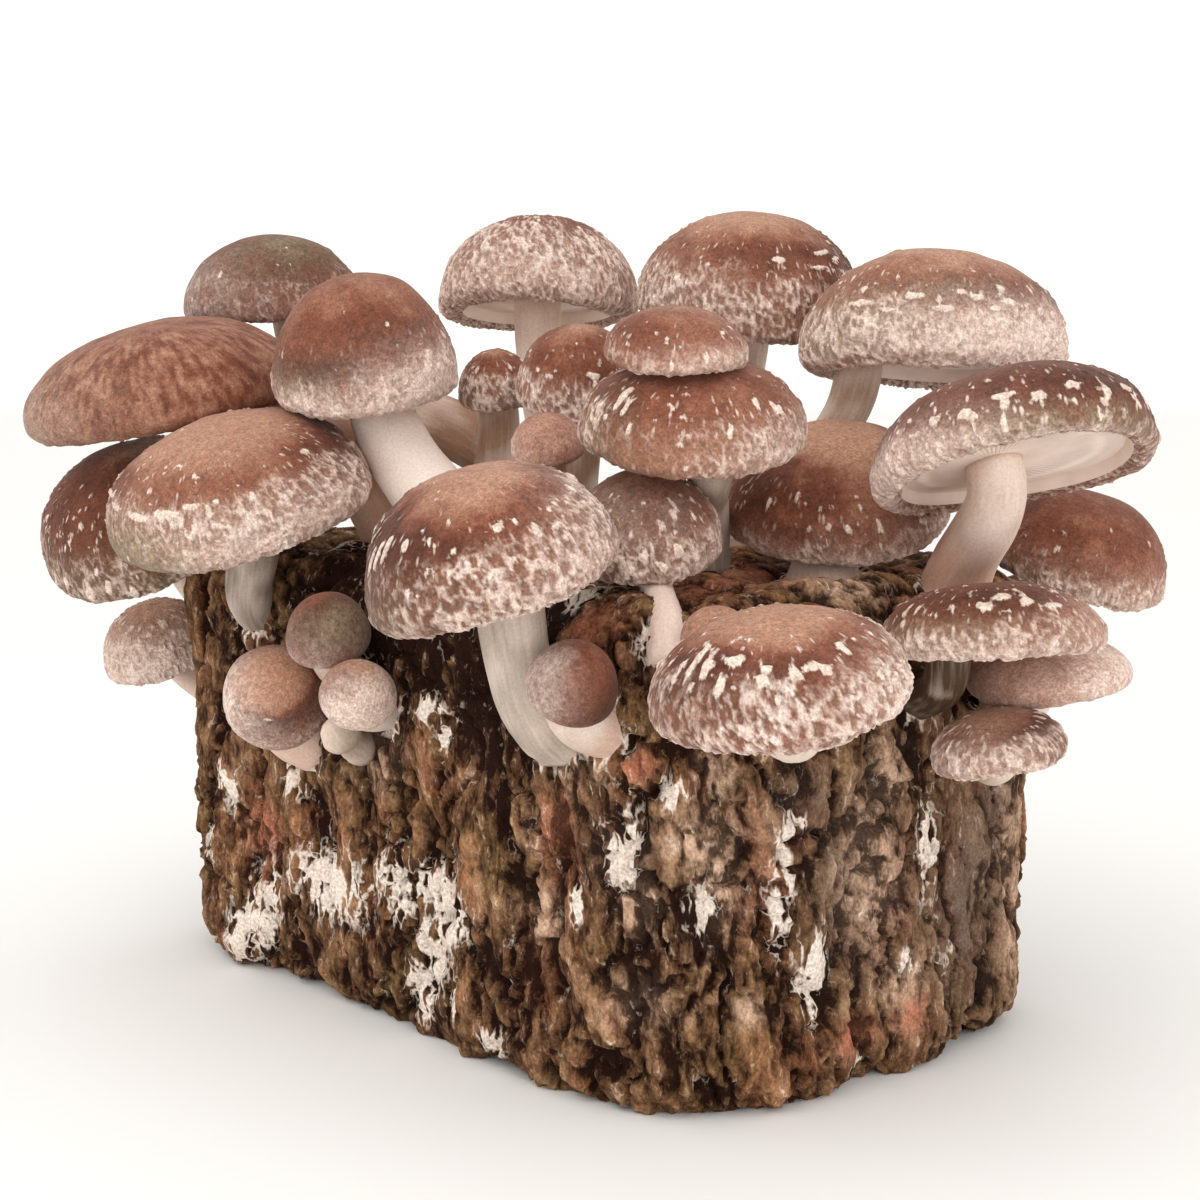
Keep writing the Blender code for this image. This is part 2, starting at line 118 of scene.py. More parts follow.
LOOKS = {
    "back_left": Look(0.6, -0.4, 0.35, 0.15, 1.3, (
        ("grey", -150, 0.85, 60, 0.35, 1.2), ("grey", -80, 1.0, 80, 0.25, 0.6),
        ("olive", -50, 0.3, 80, 0.3, 1.0), ("deep", -60, 0.5, 60, 0.3, 0.4))),
    "left_round": Look(0.82, -0.4, 0.9, 0.5, 0.85, (
        ("pale", -30, 1.02, 60, 0.27, 3.4), ("olive", -135, 0.85, 35, 0.14, 1.0),
        ("veil", -20, 0.9, 50, 0.4, 0.24), ("pale", -110, 1.02, 60, 0.18, 1.9),
        ("deep", -70, 0.5, 50, 0.2, 0.5), ("deep", -115, 0.7, 40, 0.1, 1.1),
        ("tan", -50, 0.25, 60, 0.2, 0.3))),
    "far_left": Look(1.2, -0.3, 0.25, 0.3, 0.68, (
        ("streaky", -90, 0.55, 200, 0.8, 1.0), ("grey", 180, 0.95, 40, 0.3, 0.6),
        ("olive", -165, 0.9, 50, 0.3, 0.6), ("pale", -150, 0.8, 60, 0.25, 0.2))),
    "left_big": Look(0.62, 0.25, 0.95, 0.8, 0.75, (
        ("olive", -140, 0.92, 45, 0.2, 2.0), ("olive", -100, 0.98, 40, 0.12, 0.6),
        ("pale", -65, 0.88, 50, 0.16, 0.9), ("bare", -140, 0.92, 45, 0.18, 0.92),
        ("deep", -140, 0.95, 40, 0.12, 1.1), ("deep", -5, 0.62, 35, 0.2, 0.9),
        ("deep", 178, 0.6, 30, 0.15, 0.6)), (
        (-128, 0.67, 8, 1.7), (-112, 0.645, 7, 2.0), (-98, 0.62, 4, 1.5), (-150, 0.66, 6, 1.5),
        (-165, 0.63, 5, 1.4))),
    "left_under": Look(0.66, -0.1, 0.55, 1.6, 1.35, (
        ("olive", -80, 0.95, 80, 0.25, 0.9), ("pale", 20, 0.3, 50, 0.22, 0.7),
        ("olive", 10, 0.35, 60, 0.25, 0.9), ("deep", -120, 0.85, 90, 0.2, 0.75)), (
        (-128, 0.82, 1.6, 4), (-112, 0.86, 2.2, 5), (-100, 0.84, 1.6, 4), (-140, 0.85, 1.4, 4),
        (-88, 0.9, 1.8, 4))),
    "left_low": Look(0.45, 0.1, 1.0, 1.3, 0.6, (
        ("pale", -100, 0.9, 90, 0.5, 1.5), ("grey", -60, 0.6, 70, 0.4, 0.3)), (
        (-120, 0.6, 1.6, 4), (-104, 0.68, 1.6, 3.5), (-90, 0.62, 1.4, 3))),
    "back_mid": Look(0.4, 0.05, 0.95, 1.2, 0.95, (
        ("deep", -60, 0.5, 60, 0.25, 0.4), ("pale", -100, 0.9, 90, 0.3, 0.6)), (), 0.12),
    "back_right": Look(0.62, 0.2, 0.9, 0.9, 0.8, (
        ("grey", -130, 0.9, 50, 0.25, 0.7), ("deep", -15, 0.6, 45, 0.35, 0.9),
        ("deep", -60, 0.45, 60, 0.16, 0.5), ("bare", -20, 0.8, 30, 0.3, 0.5)), (
        (-78, 0.5, 3.6, 2.0), (-40, 0.47, 6, 1.2), (-30, 0.52, 4, 1.2), (-50, 0.55, 5, 1.3))),
    "right_high": Look(0.68, 0.26, 1.05, 1.0, 0.6, (
        ("olive", -130, 0.84, 40, 0.18, 1.4), ("grey", -40, 0.9, 45, 0.2, 0.4),
        ("olive", -95, 0.6, 40, 0.08, 0.5), ("deep", -60, 0.6, 80, 0.1, 0.7),
        ("pale", -65, 0.9, 60, 0.22, 1.7)), (
        (-94, 0.7, 5, 1.5), (-78, 0.65, 3, 1.6), (-132, 0.68, 6, 1.6), (-108, 0.64, 4, 1.6),
        (-62, 0.67, 3, 1.6), (-45, 0.71, 2.4, 2), (-120, 0.71, 5, 1.2), (-86, 0.62, 2.2, 1.8),
        (-70, 0.7, 2.2, 1.8))),
    "right_open": Look(0.9, -0.4, 0.6, 1.7, 1.25, (
        ("pale", -175, 0.97, 50, 0.2, 2.2), ("pale", -110, 1.03, 70, 0.06, 1.6),
        ("veil", 180, 0.9, 45, 0.4, 0.16), ("olive", -80, 0.94, 70, 0.08, 1.2),
        ("bare", -70, 0.75, 70, 0.14, 0.6), ("deep", -60, 0.7, 60, 0.1, 0.5)), (
        (-118, 0.8, 3, 2.4), (-104, 0.76, 4, 1.8), (-90, 0.8, 2.6, 2.6), (-76, 0.76, 4, 1.8),
        (-62, 0.8, 2.6, 2.2), (-48, 0.77, 3.4, 1.8), (-132, 0.77, 3, 2), (-34, 0.8, 2.4, 2)), 0.1),
    "right_side": Look(0.82, -0.3, 0.8, 0.4, 1.0, (
        ("olive", -110, 0.98, 50, 0.16, 0.6), ("tan", -30, 0.95, 70, 0.3, 0.6),
        ("pale", -60, 1.0, 70, 0.26, 0.5), ("veil", -40, 0.9, 60, 0.4, 0.12))),
    "right_flat": Look(0.72, -0.2, 0.7, 1.6, 1.15, (
        ("olive", -130, 0.85, 40, 0.16, 0.8), ("pale", -110, 0.98, 80, 0.14, 1.0),
        ("pink", -10, 0.8, 45, 0.3, 0.8), ("deep", -80, 0.5, 60, 0.16, 0.6),
        ("tan", -10, 0.8, 45, 0.3, 0.4)), (
        (-92, 0.5, 3.4, 3.4), (-78, 0.56, 3, 2.4), (-104, 0.6, 3, 2.4), (-62, 0.62, 4, 1.6))),
    "right_pink": Look(1.1, 0.2, 0.4, 0.0, 0.3, (
        ("pink", -130, 0.6, 70, 0.9, 0.9), ("pale", -35, 0.8, 60, 0.5, 1.5),
        ("pale", -110, 1.0, 90, 0.14, 1.1))),
    "right_small": Look(0.55, 0.2, 0.9, 0.9, 0.8, (
        ("pale", -130, 0.9, 70, 0.35, 0.7), ("deep", -30, 0.55, 50, 0.3, 0.9),
        ("grey", -100, 0.6, 60, 0.3, 0.4))),
    "mid_right": Look(0.78, 0.22, 0.65, 0.8, 0.6, (
        ("grey", -45, 0.9, 45, 0.2, 0.6), ("deep", -140, 0.5, 50, 0.25, 0.9),
        ("deep", -80, 0.78, 90, 0.1, 0.5), ("pale", -80, 1.0, 100, 0.11, 1.2))),
    "mid": Look(0.66, -0.2, 0.75, 1.1, 0.9, (
        ("olive", -155, 0.85, 35, 0.25, 0.6), ("deep", -150, 0.6, 40, 0.2, 0.5),
        ("pale", -30, 0.9, 50, 0.2, 0.6), ("bare", -115, 0.85, 28, 0.3, 0.7),
        ("tan", -110, 0.9, 40, 0.3, 0.3)), (
        (-142, 0.55, 2.2, 5), (-134, 0.6, 1.6, 4), (-50, 0.55, 1.4, 3), (-38, 0.6, 1.4, 3.5))),
    "mid_top": Look(0.72, -0.1, 0.6, 0.6, 0.75, (
        ("pale", -55, 1.0, 60, 0.25, 0.7), ("deep", -140, 0.6, 50, 0.2, 0.4),
        ("pink", -60, 0.9, 60, 0.2, 0.4))),
    "mid_left_small": Look(0.5, 0.0, 0.9, 0.7, 1.0, (
        ("grey", -90, 0.9, 90, 0.25, 0.7),)),
    "mid_left": Look(0.6, 0.0, 0.9, 0.8, 1.0, (
        ("grey", -110, 0.95, 90, 0.25, 0.7), ("deep", -20, 0.7, 50, 0.3, 0.7)), (
        (-72, 0.55, 2.8, 1.8),)),
    "mid_tiny": Look(0.9, 0.0, 0.3, 0.1, 0.7, (
        ("pink", -90, 0.6, 150, 0.6, 0.5), ("pale", 170, 0.9, 50, 0.35, 1.0))),
    "front_big": Look(0.62, 0.24, 0.95, 1.0, 0.95, (
        ("deep", -170, 0.52, 65, 0.3, 1.7), ("deep", -140, 0.78, 50, 0.25, 1.2),
        ("olive", -150, 0.92, 40, 0.16, 0.7), ("bare", -155, 0.78, 45, 0.3, 0.75),
        ("grey", 10, 0.7, 45, 0.3, 1.0), ("veil", 5, 0.7, 55, 0.5, 0.18),
        ("pale", -30, 0.95, 50, 0.15, 0.5)), (
        (-150, 0.56, 1.5, 6), (-143, 0.52, 1.4, 6), (-158, 0.6, 1.4, 5), (-128, 0.5, 1.6, 2.6),
        (-70, 0.5, 1.8, 2.6))),
    "mid_low": Look(0.6, -0.1, 0.9, 1.2, 1.0, (
        ("grey", -100, 0.5, 90, 0.35, 0.7), ("olive", -140, 0.3, 60, 0.3, 0.5),
        ("deep", -130, 0.92, 60, 0.2, 1.5), ("pale", -40, 0.9, 40, 0.15, 0.5),
        ("bare", -135, 0.92, 40, 0.16, 0.4)), (
        (-150, 0.72, 1.6, 3), (-138, 0.68, 1.8, 3.5), (-126, 0.8, 1.6, 2.6), (-114, 0.7, 1.8, 3),
        (-102, 0.82, 1.8, 2.8), (-90, 0.72, 1.8, 3), (-76, 0.8, 2, 2.8), (-62, 0.7, 1.8, 3),
        (-48, 0.78, 1.8, 2.6), (-143, 0.9, 2, 2))),
    "front_right": Look(0.6, 0.22, 0.95, 1.2, 1.0, (
        ("pale", -15, 0.85, 40, 0.25, 0.45), ("deep", -140, 0.62, 50, 0.25, 0.9),
        ("bare", -150, 0.75, 40, 0.2, 0.5)), (
        (-143, 0.5, 1.6, 7), (-133, 0.53, 1.5, 5), (-152, 0.55, 1.3, 5), (-118, 0.47, 4, 2.4),
        (-122, 0.62, 1.8, 4), (-100, 0.58, 2, 3), (-84, 0.55, 1.6, 3), (-68, 0.58, 2, 2.6),
        (-50, 0.5, 1.6, 3))),
    "corner_tiny": Look(1.2, 0.2, 0.1, 0.0, 0.3, (
        ("tan", -90, 0.5, 200, 0.9, 0.5),)),
    "stem_bud": Look(1.2, -0.3, 0.2, 0.0, 0.95, (
        ("grey", -160, 0.6, 60, 0.7, 1.5), ("pale", -170, 0.8, 45, 0.5, 0.8),
        ("deep", -20, 0.75, 60, 0.3, 0.9), ("pale", -50, 1.05, 60, 0.1, 1.4))),
    "left_bud_high": Look(1.2, -0.3, 0.3, 0.3, 1.0, (
        ("grey", -120, 1.0, 90, 0.5, 1.1), ("deep", -40, 0.3, 90, 0.4, 1.6),
        ("olive", -60, 0.4, 90, 0.5, 0.9), ("pale", -130, 1.0, 60, 0.2, 0.8))),
    "left_bud_side": Look(1.2, 0.2, 0.0, 0.0, 0.5, (
        ("pale", -60, 0.8, 90, 0.6, 2.4), ("grey", -150, 0.4, 60, 0.5, 0.8),
        ("deep", -160, 0.35, 60, 0.3, 0.6))),
    "left_bud_big": Look(0.7, 0.3, 0.5, 0.0, 1.0, (
        ("grey", -90, 0.95, 400, 0.36, 1.1), ("pale", -165, 0.75, 60, 0.4, 1.8),
        ("deep", -70, 0.46, 75, 0.12, 1.3), ("tan", -90, 0.0, 400, 0.25, 0.35)), (
        (-92, 0.42, 2.4, 0.5), (-84, 0.4, 1.4, 0.5))),
}

# How a stem is stained: how tan it is, how reddish towards its foot, how grey, the grey being
# partly painted shade, how far up the reddish foot reaches, and how much painted shade darkens it
Stain = namedtuple("Stain", "tan red grey reach dim", defaults=(0.35, 0.35, 0.1, 0.3, 0.0))

STAINS = {
    "back_left": Stain(0.9, 0.3, 0.2, 0.5, 0.15),
    "left_round": Stain(0.08, 0.2, 0.0, 0.25),
    "far_left": Stain(0.9, 0.8, 0.1, 0.6, 0.1),
    "left_big": Stain(0.1, 0.1, 0.9, 0.3, 0.35),
    "front_big": Stain(0.05, 0.05, 0.85),
    "right_open": Stain(0.4, 0.65, 0.0, 0.5),
    "right_high": Stain(0.8, 0.3, 0.4, 0.3, 0.1),
    "back_right": Stain(0.7, 0.3, 0.5, 0.3, 0.1),
    "mid_right": Stain(0.2, 0.4, 0.3),
    "mid": Stain(0.3, 0.2, 0.7, 0.3, 0.15),
    "mid_low": Stain(0.05, 0.25, 0.0, 0.4),
    "mid_left": Stain(0.8, 0.5, 0.3, 0.3, 0.15),
    "mid_left_small": Stain(0.9, 0.6, 0.2, 0.5, 0.1),
    "mid_tiny": Stain(0.8, 0.3, 0.4, 0.3, 0.2),
    "right_flat": Stain(0.6, 0.1, 0.6, 0.3, 1.25),
    "left_bud_big": Stain(0.15, 0.45, 0.0, 0.9),
    "left_bud_side": Stain(0.1, 0.1, 0.3),
    "back_mid": Stain(0.3, 0.1, 0.0),
}

# Patches on the block's skin: the middle of each, and its reach along the skin and up it, all in mm
PATCHES = {
    "cream": (
        (23, -63, 36, 8, 4.5), (-17, -63, 30, 10, 6), (-52, -63, 13, 6, 5), (21, -63, 22, 3.5, 7.5),
        (100, -26, 30, 3, 6), (99, -35, 48, 2.2, 5.5), (102, 7, 53, 2.8, 5), (93, -50, 44, 2.2, 3.4),
        (79, -60, 53, 2.3, 4.2), (70, -62, 43, 1.5, 3), (22, -64, 77, 3.6, 2.2), (26, -63, 71, 1.2, 1.6),
        (-32, -63, 53, 5, 3.2), (30, -63, 13, 3, 2.6), (99, -12, 6, 2.2, 1.2), (88, -54, 68, 2.2, 2.4),
        (101, -33, 60, 2, 2), (102, 0, 26, 1.6, 2.2), (-69, -65, 30, 2.4, 4), (-60, -65, 48, 2.4, 5),
        (-23, -64, 59, 4.2, 2.4), (43, -62, 7, 3, 2), (-100, 10, 40, 4, 7), (-96, 38, 20, 7, 5),
        (-40, 64, 50, 6, 9), (28, 65, 28, 9, 5), (74, 62, 64, 4, 8), (-80, 60, 74, 5, 5),
        (100, -35, 50, 2.2, 11), (102, 8, 50, 2.2, 8), (101, -26, 28, 2.6, 7.5), (81, -59, 56, 1.8, 6),
        (8, -63, 35, 6, 5), (-20, -63, 30, 9, 6), (26, -63, 31, 4.5, 9), (-46, -63, 22, 6, 5),
        (-57, -62, 6, 4, 4), (15, -63, 12, 3.2, 5.5), (60, -50, 105, 7, 3), (-40, -45, 105, 5, 3),
    ),
    "grey": (
        (101, -15, 46, 11, 17), (100, 22, 35, 14, 24), (101, -31, 65, 7, 8), (79, -60, 55, 6, 7),
        (99, 34, 55, 9, 14), (-60, 64, 40, 20, 26), (50, 64, 70, 18, 18),
    ),
    "red": (
        (-47, -63, 37, 9, 7), (101, -15, 12, 6, 3.5), (83, -58, 73, 4, 3), (102, 2, 14, 4, 3.5),
        (63, -62, 59, 4, 5), (95, -49, 83, 6, 3), (-101, -10, 62, 9, 8), (10, 64, 60, 9, 7),
        (72, -30, 105, 10, 6), (60, -5, 105, 9, 6), (80, 25, 105, 8, 6), (72, -61, 97, 5, 5),
    ),
    "tan": (
        (93, -49, 59, 6, 5), (59, -63, 38, 4.5, 5), (103, -7, 66, 5, 6), (97, -42, 23, 2.5, 2.5),
        (84, -59, 25, 5, 4), (94, -48, 54, 4.5, 12), (103, -5, 68, 6.5, 7), (101, -10, 47, 7, 13),
        (102, 0, 21, 4.5, 7), (94, -48, 73, 3.5, 4.5), (84, -59, 45, 3.5, 5), (99, 37, 73, 5, 3),
        (98, 41, 33, 4.5, 18), (90, -10, 105, 9, 4), (66, -62, 78, 6, 8), (0, -64, 66, 7, 7),
        (-97, -24, 70, 5, 12), (35, 64, 50, 10, 12),
    ),
}

# The block, as its filter bag shaped it, in millimetres
BLOCK_SIZE = Vector((203, 127, 105))
BLOCK_CELLS = (160, 100, 96)
CORNER_RADIUS = 34
TOP_RADIUS = 11
BASE_RADIUS = 10
LUMP_DEPTH = 3
LUMP_WIDTH = 18
LUMP_STRETCH = 2.4

# How wide the block's bark plates, the waves that bend them, the creases, wrinkles, chips and crumbs on
# them, and the laces and veins of fungus are, how far the waves bend them, and how far the crust sinks
# or stands out at most, in mm
PLATE_WIDTH = 15.0
WAVE_WIDTH = 18.0
WAVE_DEPTH = 6
CREASE_WIDTH = 6.5
WRINKLE_WIDTH = 4.2
CHIP_WIDTH = 6.0
CRUMB_WIDTH = 1.9
LACE_WIDTH = 5.0
VEIN_WIDTH = 6.0
DEEPEST = -4.5
HIGHEST = 2.2

# A cap's skin is finer on caps up to so many mm across, by a factor, and coarser in its plain middle,
# up to a share of the way down. The gills have rings at shares of their way in.
SMALL_CAP = 38
SMALL_SPACING = 0.85
MIDDLE_SHARE = 0.3
MIDDLE_SPACING = 1.7
GILL_RINGS = (0.04, 0.1, 0.18, 0.3, 0.45, 0.62, 0.8, 0.92, 1.0)

# How far round a cap's rim its tufts, its relief, the finish of its skin and its tints go, where 1 is
# the rim's lowest point and 2 its inner edge
TUFT_END = 1.02
RELIEF_END = 1.4
SKIN_END = 1.45
TINT_END = 1.6

# The step between a stem's rings in mm, and how much longer than wide its fibres are
STEM_STEP = 0.9
FIBRE_STRETCH = 8

# The stage: the floor's radius and each lamp's size in metres, and its place in mm of the corner view.
# The camera's place, its lens in mm and how far it looks down were found from the block's outline.
FLOOR_RADIUS = 4.0
SKY_COLOUR = (1, 0.985, 0.965, 1)
LAMPS = (("key", 0.7, (-420, -560, 760)), ("fill", 1.0, (200, -800, 70)))
CAMERA_PLACE = (3.5, -512.1, 158.1)
CAMERA_PITCH = math.atan(264 / 2100)
LENS_LENGTH = 63
SENSOR_WIDTH = 36


# Colours and settings

def linear(hex_colour):
    """An sRGB hex colour in the linear light that Blender works in."""
    channels = [int(hex_colour[place : place + 2], 16) / 255 for place in (1, 3, 5)]
    return tuple(c / 12.92 if c <= 0.04045 else ((c + 0.055) / 1.055) ** 2.4 for c in channels)


def colour(label, description, hex_colour):
    """A colour setting with its default."""
    return FloatVectorProperty(
        name=label, description=description, subtype="COLOR", size=3, min=0, max=1, default=linear(hex_colour)
    )


def length(label, description, millimetres):
    """A length setting with its default in mm."""
    return FloatProperty(
        name=label, description=description, default=millimetres * MM, min=0, unit="LENGTH", precision=5
    )


def power(label, description, watts):
    """A light's setting with its default in watts."""
    return FloatProperty(name=label, description=description, default=watts, min=0, unit="POWER")


class CapSettings(bpy.types.PropertyGroup):
    """Sizes and colours of the shiitake caps."""

    middle: colour("Middle", "Smooth tan skin in the middle of a cap", "#AC8068")
    ring: colour("Ring", "Red-brown ring round the middle", "#7F4A36")
    deep: colour("Deep ring", "Darkest brown of the ring", "#4A2518")
    cell: colour("Cell", "Brown skin between the strands of the net", "#94705E")
    strand: colour("Strand", "Whitish-pink strands of the net", "#E6CEC1")
    tuft: colour("Tuft", "Cream tufts and flecks torn from the veil", "#E7D1C2")
    olive: colour("Olive", "Olive tint of damp skin", "#83735A")
    grey: colour("Grey", "Grey bloom on shaded skin", "#A08C82")
    pink: colour("Pink", "Pinkish skin of young caps", "#C69C8B")
    gill: colour("Gill", "Pale gills and the rolled rim", "#F2E1D5")
    spacing: length("Spacing", "Distance between points of a cap's skin", 0.66)
    tuft_height: length("Tuft height", "How far the tufts stand out", 0.5)
    strand_width: length("Strand spacing", "Distance between the strands of the net", 2.2)
    gill_depth: length("Gill depth", "How deep the gills run", 3.0)


class StemSettings(bpy.types.PropertyGroup):
    """Sizes and colours of the stems."""

    flesh: colour("Flesh", "Cream flesh of a stem", "#F5E4D8")
    tan: colour("Tan", "Tan stain", "#B58C6E")
    red: colour("Red", "Reddish-brown stain at the foot", "#DCA68B")
    # The grey is partly the stem's own grey and partly painted shade on stems that stand under the caps
    grey: colour("Grey", "Grey of a stem in the damp shade", "#A29485")
    # The dark olive brown is painted shade for stems that stand in deep shadow
    dim: colour("Dark", "Dark olive brown of an old stem", "#4A3626")
    fibre: length("Fibre depth", "How deep the fibres run along a stem", 0.09)
    sides: IntProperty(name="Sides", description="Points round a stem", default=48, min=12, max=96)
    sunk: length("Sunk", "How deep a foot is grown into the block", 3.0)


class BlockSettings(bpy.types.PropertyGroup):
    """Relief and colours of the browned block."""

    # The crack colour carries painted shade in the cracks and creases, and the crest colour painted light on
    # the crests, over the crust's own browns
    crack: colour("Crack", "Nearly black brown in the cracks", "#26120A")
    bark: colour("Bark", "Brown crust of the block", "#6C4D35")
    crest: colour("Crest", "Light tan on the crests", "#B08763")
    cream: colour("Cream", "Cream patches of fungus", "#F9E9DB")
    grey: colour("Grey", "Grey-brown bark-like crust", "#74645A")
    tan: colour("Tan", "Tan wrinkled growth", "#D3AF95")
    red: colour("Red", "Reddish stain", "#C47B60")
    column: length("Column depth", "How deep the upright cracks run", 2.6)
    crease: length("Crease depth", "How deep the creases between the lumps run", 1.3)
    chip: length("Chip height", "How rough the sawdust crust is", 1.0)


class StageSettings(bpy.types.PropertyGroup):
    """The floor and the light."""

    floor: colour("Floor", "Plain pale floor", "#F4F3F1")
    key: power("Key light", "Power of the soft key light", 2.1)
    fill: power("Fill light", "Power of the fill light", 2.6)
    sky: FloatProperty(name="Sky", description="Strength of the even light all round", default=1.12, min=0)


def set_inputs(tree, node, inputs):
    """Sets a node's inputs, in order or by name, to values or to other nodes' outputs."""
    for key, value in inputs.items() if isinstance(inputs, dict) else enumerate(inputs):
        if isinstance(value, bpy.types.NodeSocket):
            tree.links.new(value, node.inputs[key])
        else:
            node.inputs[key].default_value = value


def add_node(tree, kind, inputs=(), out=0, **settings):
    """Adds a shader node with its settings and inputs, and gives back one of its outputs."""
    node = tree.nodes.new("ShaderNode" + kind)
    for name, value in settings.items():
        setattr(node, name, value)
    set_inputs(tree, node, inputs)
    return node.outputs[out]


# A colour mix's settings
PAINT = {"out": 2, "data_type": "RGBA"}


def new_material(name):
    """An empty material, its node tree and its shader."""
    made = bpy.data.materials.new(name)
    made.use_nodes = True
    tree = made.node_tree
    return made, tree, tree.nodes["Principled BSDF"]


def cap_skin_material(settings):
    """Dry, finely felted skin of a shiitake cap: matt, tan in the middle and brown round it, with
    cream tufts torn from the veil and a net of pale fibres that thickens towards the rim."""
    made, tree, shader = new_material("shiitake_cap_skin")
    keep = {name: add_node(tree, "Attribute", out="Fac", attribute_name=name)
            for name in ("net", "strand", "tuft", "flecks", "dark", "olive", "grey", "pale", "pink")}
    skin_at = add_node(tree, "Attribute", out="Vector", attribute_name="skin_at")
    place = add_node(tree, "TexCoord", out="Object")
    drawn = add_node(tree, "VectorMath", (skin_at, (1, 1, 0.4)), operation="MULTIPLY")

    # Blotches 6 mm wide, felt 1.2 mm and grain 0.5 mm wide, and fibres of 0.9 mm drawn out down the cap
    blotch = add_node(tree, "TexNoise", {"Vector": place, "Scale": 1 / (6 * MM), "Detail": 4.0})
    felt = {"Vector": place, "Scale": 1 / (1.2 * MM), "Detail": 3.0, "Roughness": 0.7}
    felt = add_node(tree, "TexNoise", felt)
    grain = add_node(tree, "TexNoise", {"Vector": place, "Scale": 1 / (0.5 * MM), "Detail": 1.0})
    fibre = add_node(tree, "TexNoise", {"Vector": drawn, "Scale": 1 / 0.9, "Detail": 3.0, "Roughness": 0.65})

    # The skin under the net: tan, browner in the ring, and tinted in places
    uneven = add_node(tree, "Math", (blotch, 1.1, keep["dark"]), operation="MULTIPLY_ADD")
    brown = add_node(tree, "MapRange", (uneven, 0.55, 1.55, 0.0, 1.0))
    skin = add_node(tree, "Mix", {0: brown, 6: (*settings.middle, 1), 7: (*settings.ring, 1)}, **PAINT)
    deep = add_node(tree, "MapRange", (uneven, 1.4, 2.25, 0.0, 0.85))
    under = add_node(tree, "MapRange", (keep["net"], 0.0, 1.0, 0.0, 0.6))
    ragged = add_node(tree, "Math", (felt, 0.8, 0.3), operation="MULTIPLY_ADD")
    layers = [(deep, settings.deep), (keep["pink"], settings.pink), (under, settings.cell)]
    for name, paint in (("olive", settings.olive), ("grey", settings.grey), ("pale", settings.strand)):
        amount = add_node(tree, "Math", (keep[name], ragged), operation="MULTIPLY")
        layers.append((add_node(tree, "MapRange", (amount, 0.0, 1.0, 0.0, 0.85)), paint))

    # The strands, then small flecks in the ring, then tufts frayed by the fibres
    woven = add_node(tree, "Math", (fibre, 1.5, -0.62), operation="MULTIPLY_ADD")
    woven = add_node(tree, "Math", (keep["strand"], 0.95, woven), operation="MULTIPLY_ADD")
    woven = add_node(tree, "Math", (woven, keep["net"]), operation="MULTIPLY")
    layers.append((add_node(tree, "MapRange", (woven, 0.12, 0.84, 0.0, 0.92)), settings.strand))
    spots = {name: add_node(tree, "TexVoronoi", {"Vector": drawn, "Scale": 1 / 1.5}, out=name)
             for name in ("Distance", "Color")}
    chosen = add_node(tree, "Math", (spots["Color"], 0.6), operation="GREATER_THAN")
    dot = add_node(tree, "MapRange", (spots["Distance"], 0.12, 0.34, 0.8, 0.0))
    fleck = add_node(tree, "Math", (dot, chosen), operation="MULTIPLY")
    fleck = add_node(tree, "Math", (fleck, keep["flecks"]), operation="MULTIPLY")
    frayed = add_node(tree, "Math", (fibre, 1.3, keep["tuft"]), operation="MULTIPLY_ADD")
    torn = add_node(tree, "MapRange", (frayed, 1.02, 1.36, 0.0, 1.0))
    torn = add_node(tree, "Math", (torn, fleck), operation="MAXIMUM")
    layers.append((add_node(tree, "MapRange", (torn, 0.0, 1.0, 0.0, 0.88)), settings.tuft))
    for amount, paint in layers:
        skin = add_node(tree, "Mix", {0: amount, 6: skin, 7: (*paint, 1)}, **PAINT)

    # Fine light and dark grains over all of it
    light = add_node(tree, "MapRange", (felt, 0.3, 0.7, 0.7, 1.26))
    fine = add_node(tree, "MapRange", (grain, 0.3, 0.7, 0.76, 1.23))
    speckle = add_node(tree, "Math", (light, fine), operation="MULTIPLY")
    skin = add_node(tree, "VectorMath", {0: skin, 3: speckle}, operation="SCALE")
    relief = add_node(tree, "Math", (woven, 1.3, felt), operation="MULTIPLY_ADD")
    relief = add_node(tree, "Math", (torn, 0.8, relief), operation="MULTIPLY_ADD")
    bump = add_node(tree, "Bump", {"Height": relief, "Strength": 0.6, "Distance": 0.45 * MM})
    set_inputs(tree, shader, {"Base Color": skin, "Normal": bump, "Roughness": 0.75, "IOR": 1.4,
                              "Specular IOR Level": 0.25, "Sheen Weight": 0.08, "Sheen Roughness": 0.5})
    return made


def gill_material(settings):
    """Gills and rolled rim: smooth, thin, pale flesh with a slight shine, and painted shade that darkens the
    folds between the gills.
    """
    made, tree, shader = new_material("shiitake_gill_flesh")
    place = add_node(tree, "TexCoord", out="Object")
    cloud = add_node(tree, "TexNoise", {"Vector": place, "Scale": 1 / (9 * MM), "Detail": 3.0})
    fold = add_node(tree, "Attribute", out="Fac", attribute_name="fold")
    # A darker, browner copy of the gill colour, painted as shade into the folds
    painted_fold_shade = tuple(c * f for c, f in zip(settings.gill, (0.7, 0.58, 0.5)))
    shade = add_node(tree, "Math", (fold, 0.75), operation="MULTIPLY", use_clamp=True)
    flesh = add_node(tree, "Mix", {0: shade, 6: (*settings.gill, 1), 7: (*painted_fold_shade, 1)}, **PAINT)
    uneven = add_node(tree, "MapRange", (cloud, 0.3, 0.7, 0.88, 1.08))
    flesh = add_node(tree, "VectorMath", {0: flesh, 3: uneven}, operation="SCALE")
    set_inputs(tree, shader, {"Base Color": flesh, "Roughness": 0.55, "IOR": 1.4})
    return made


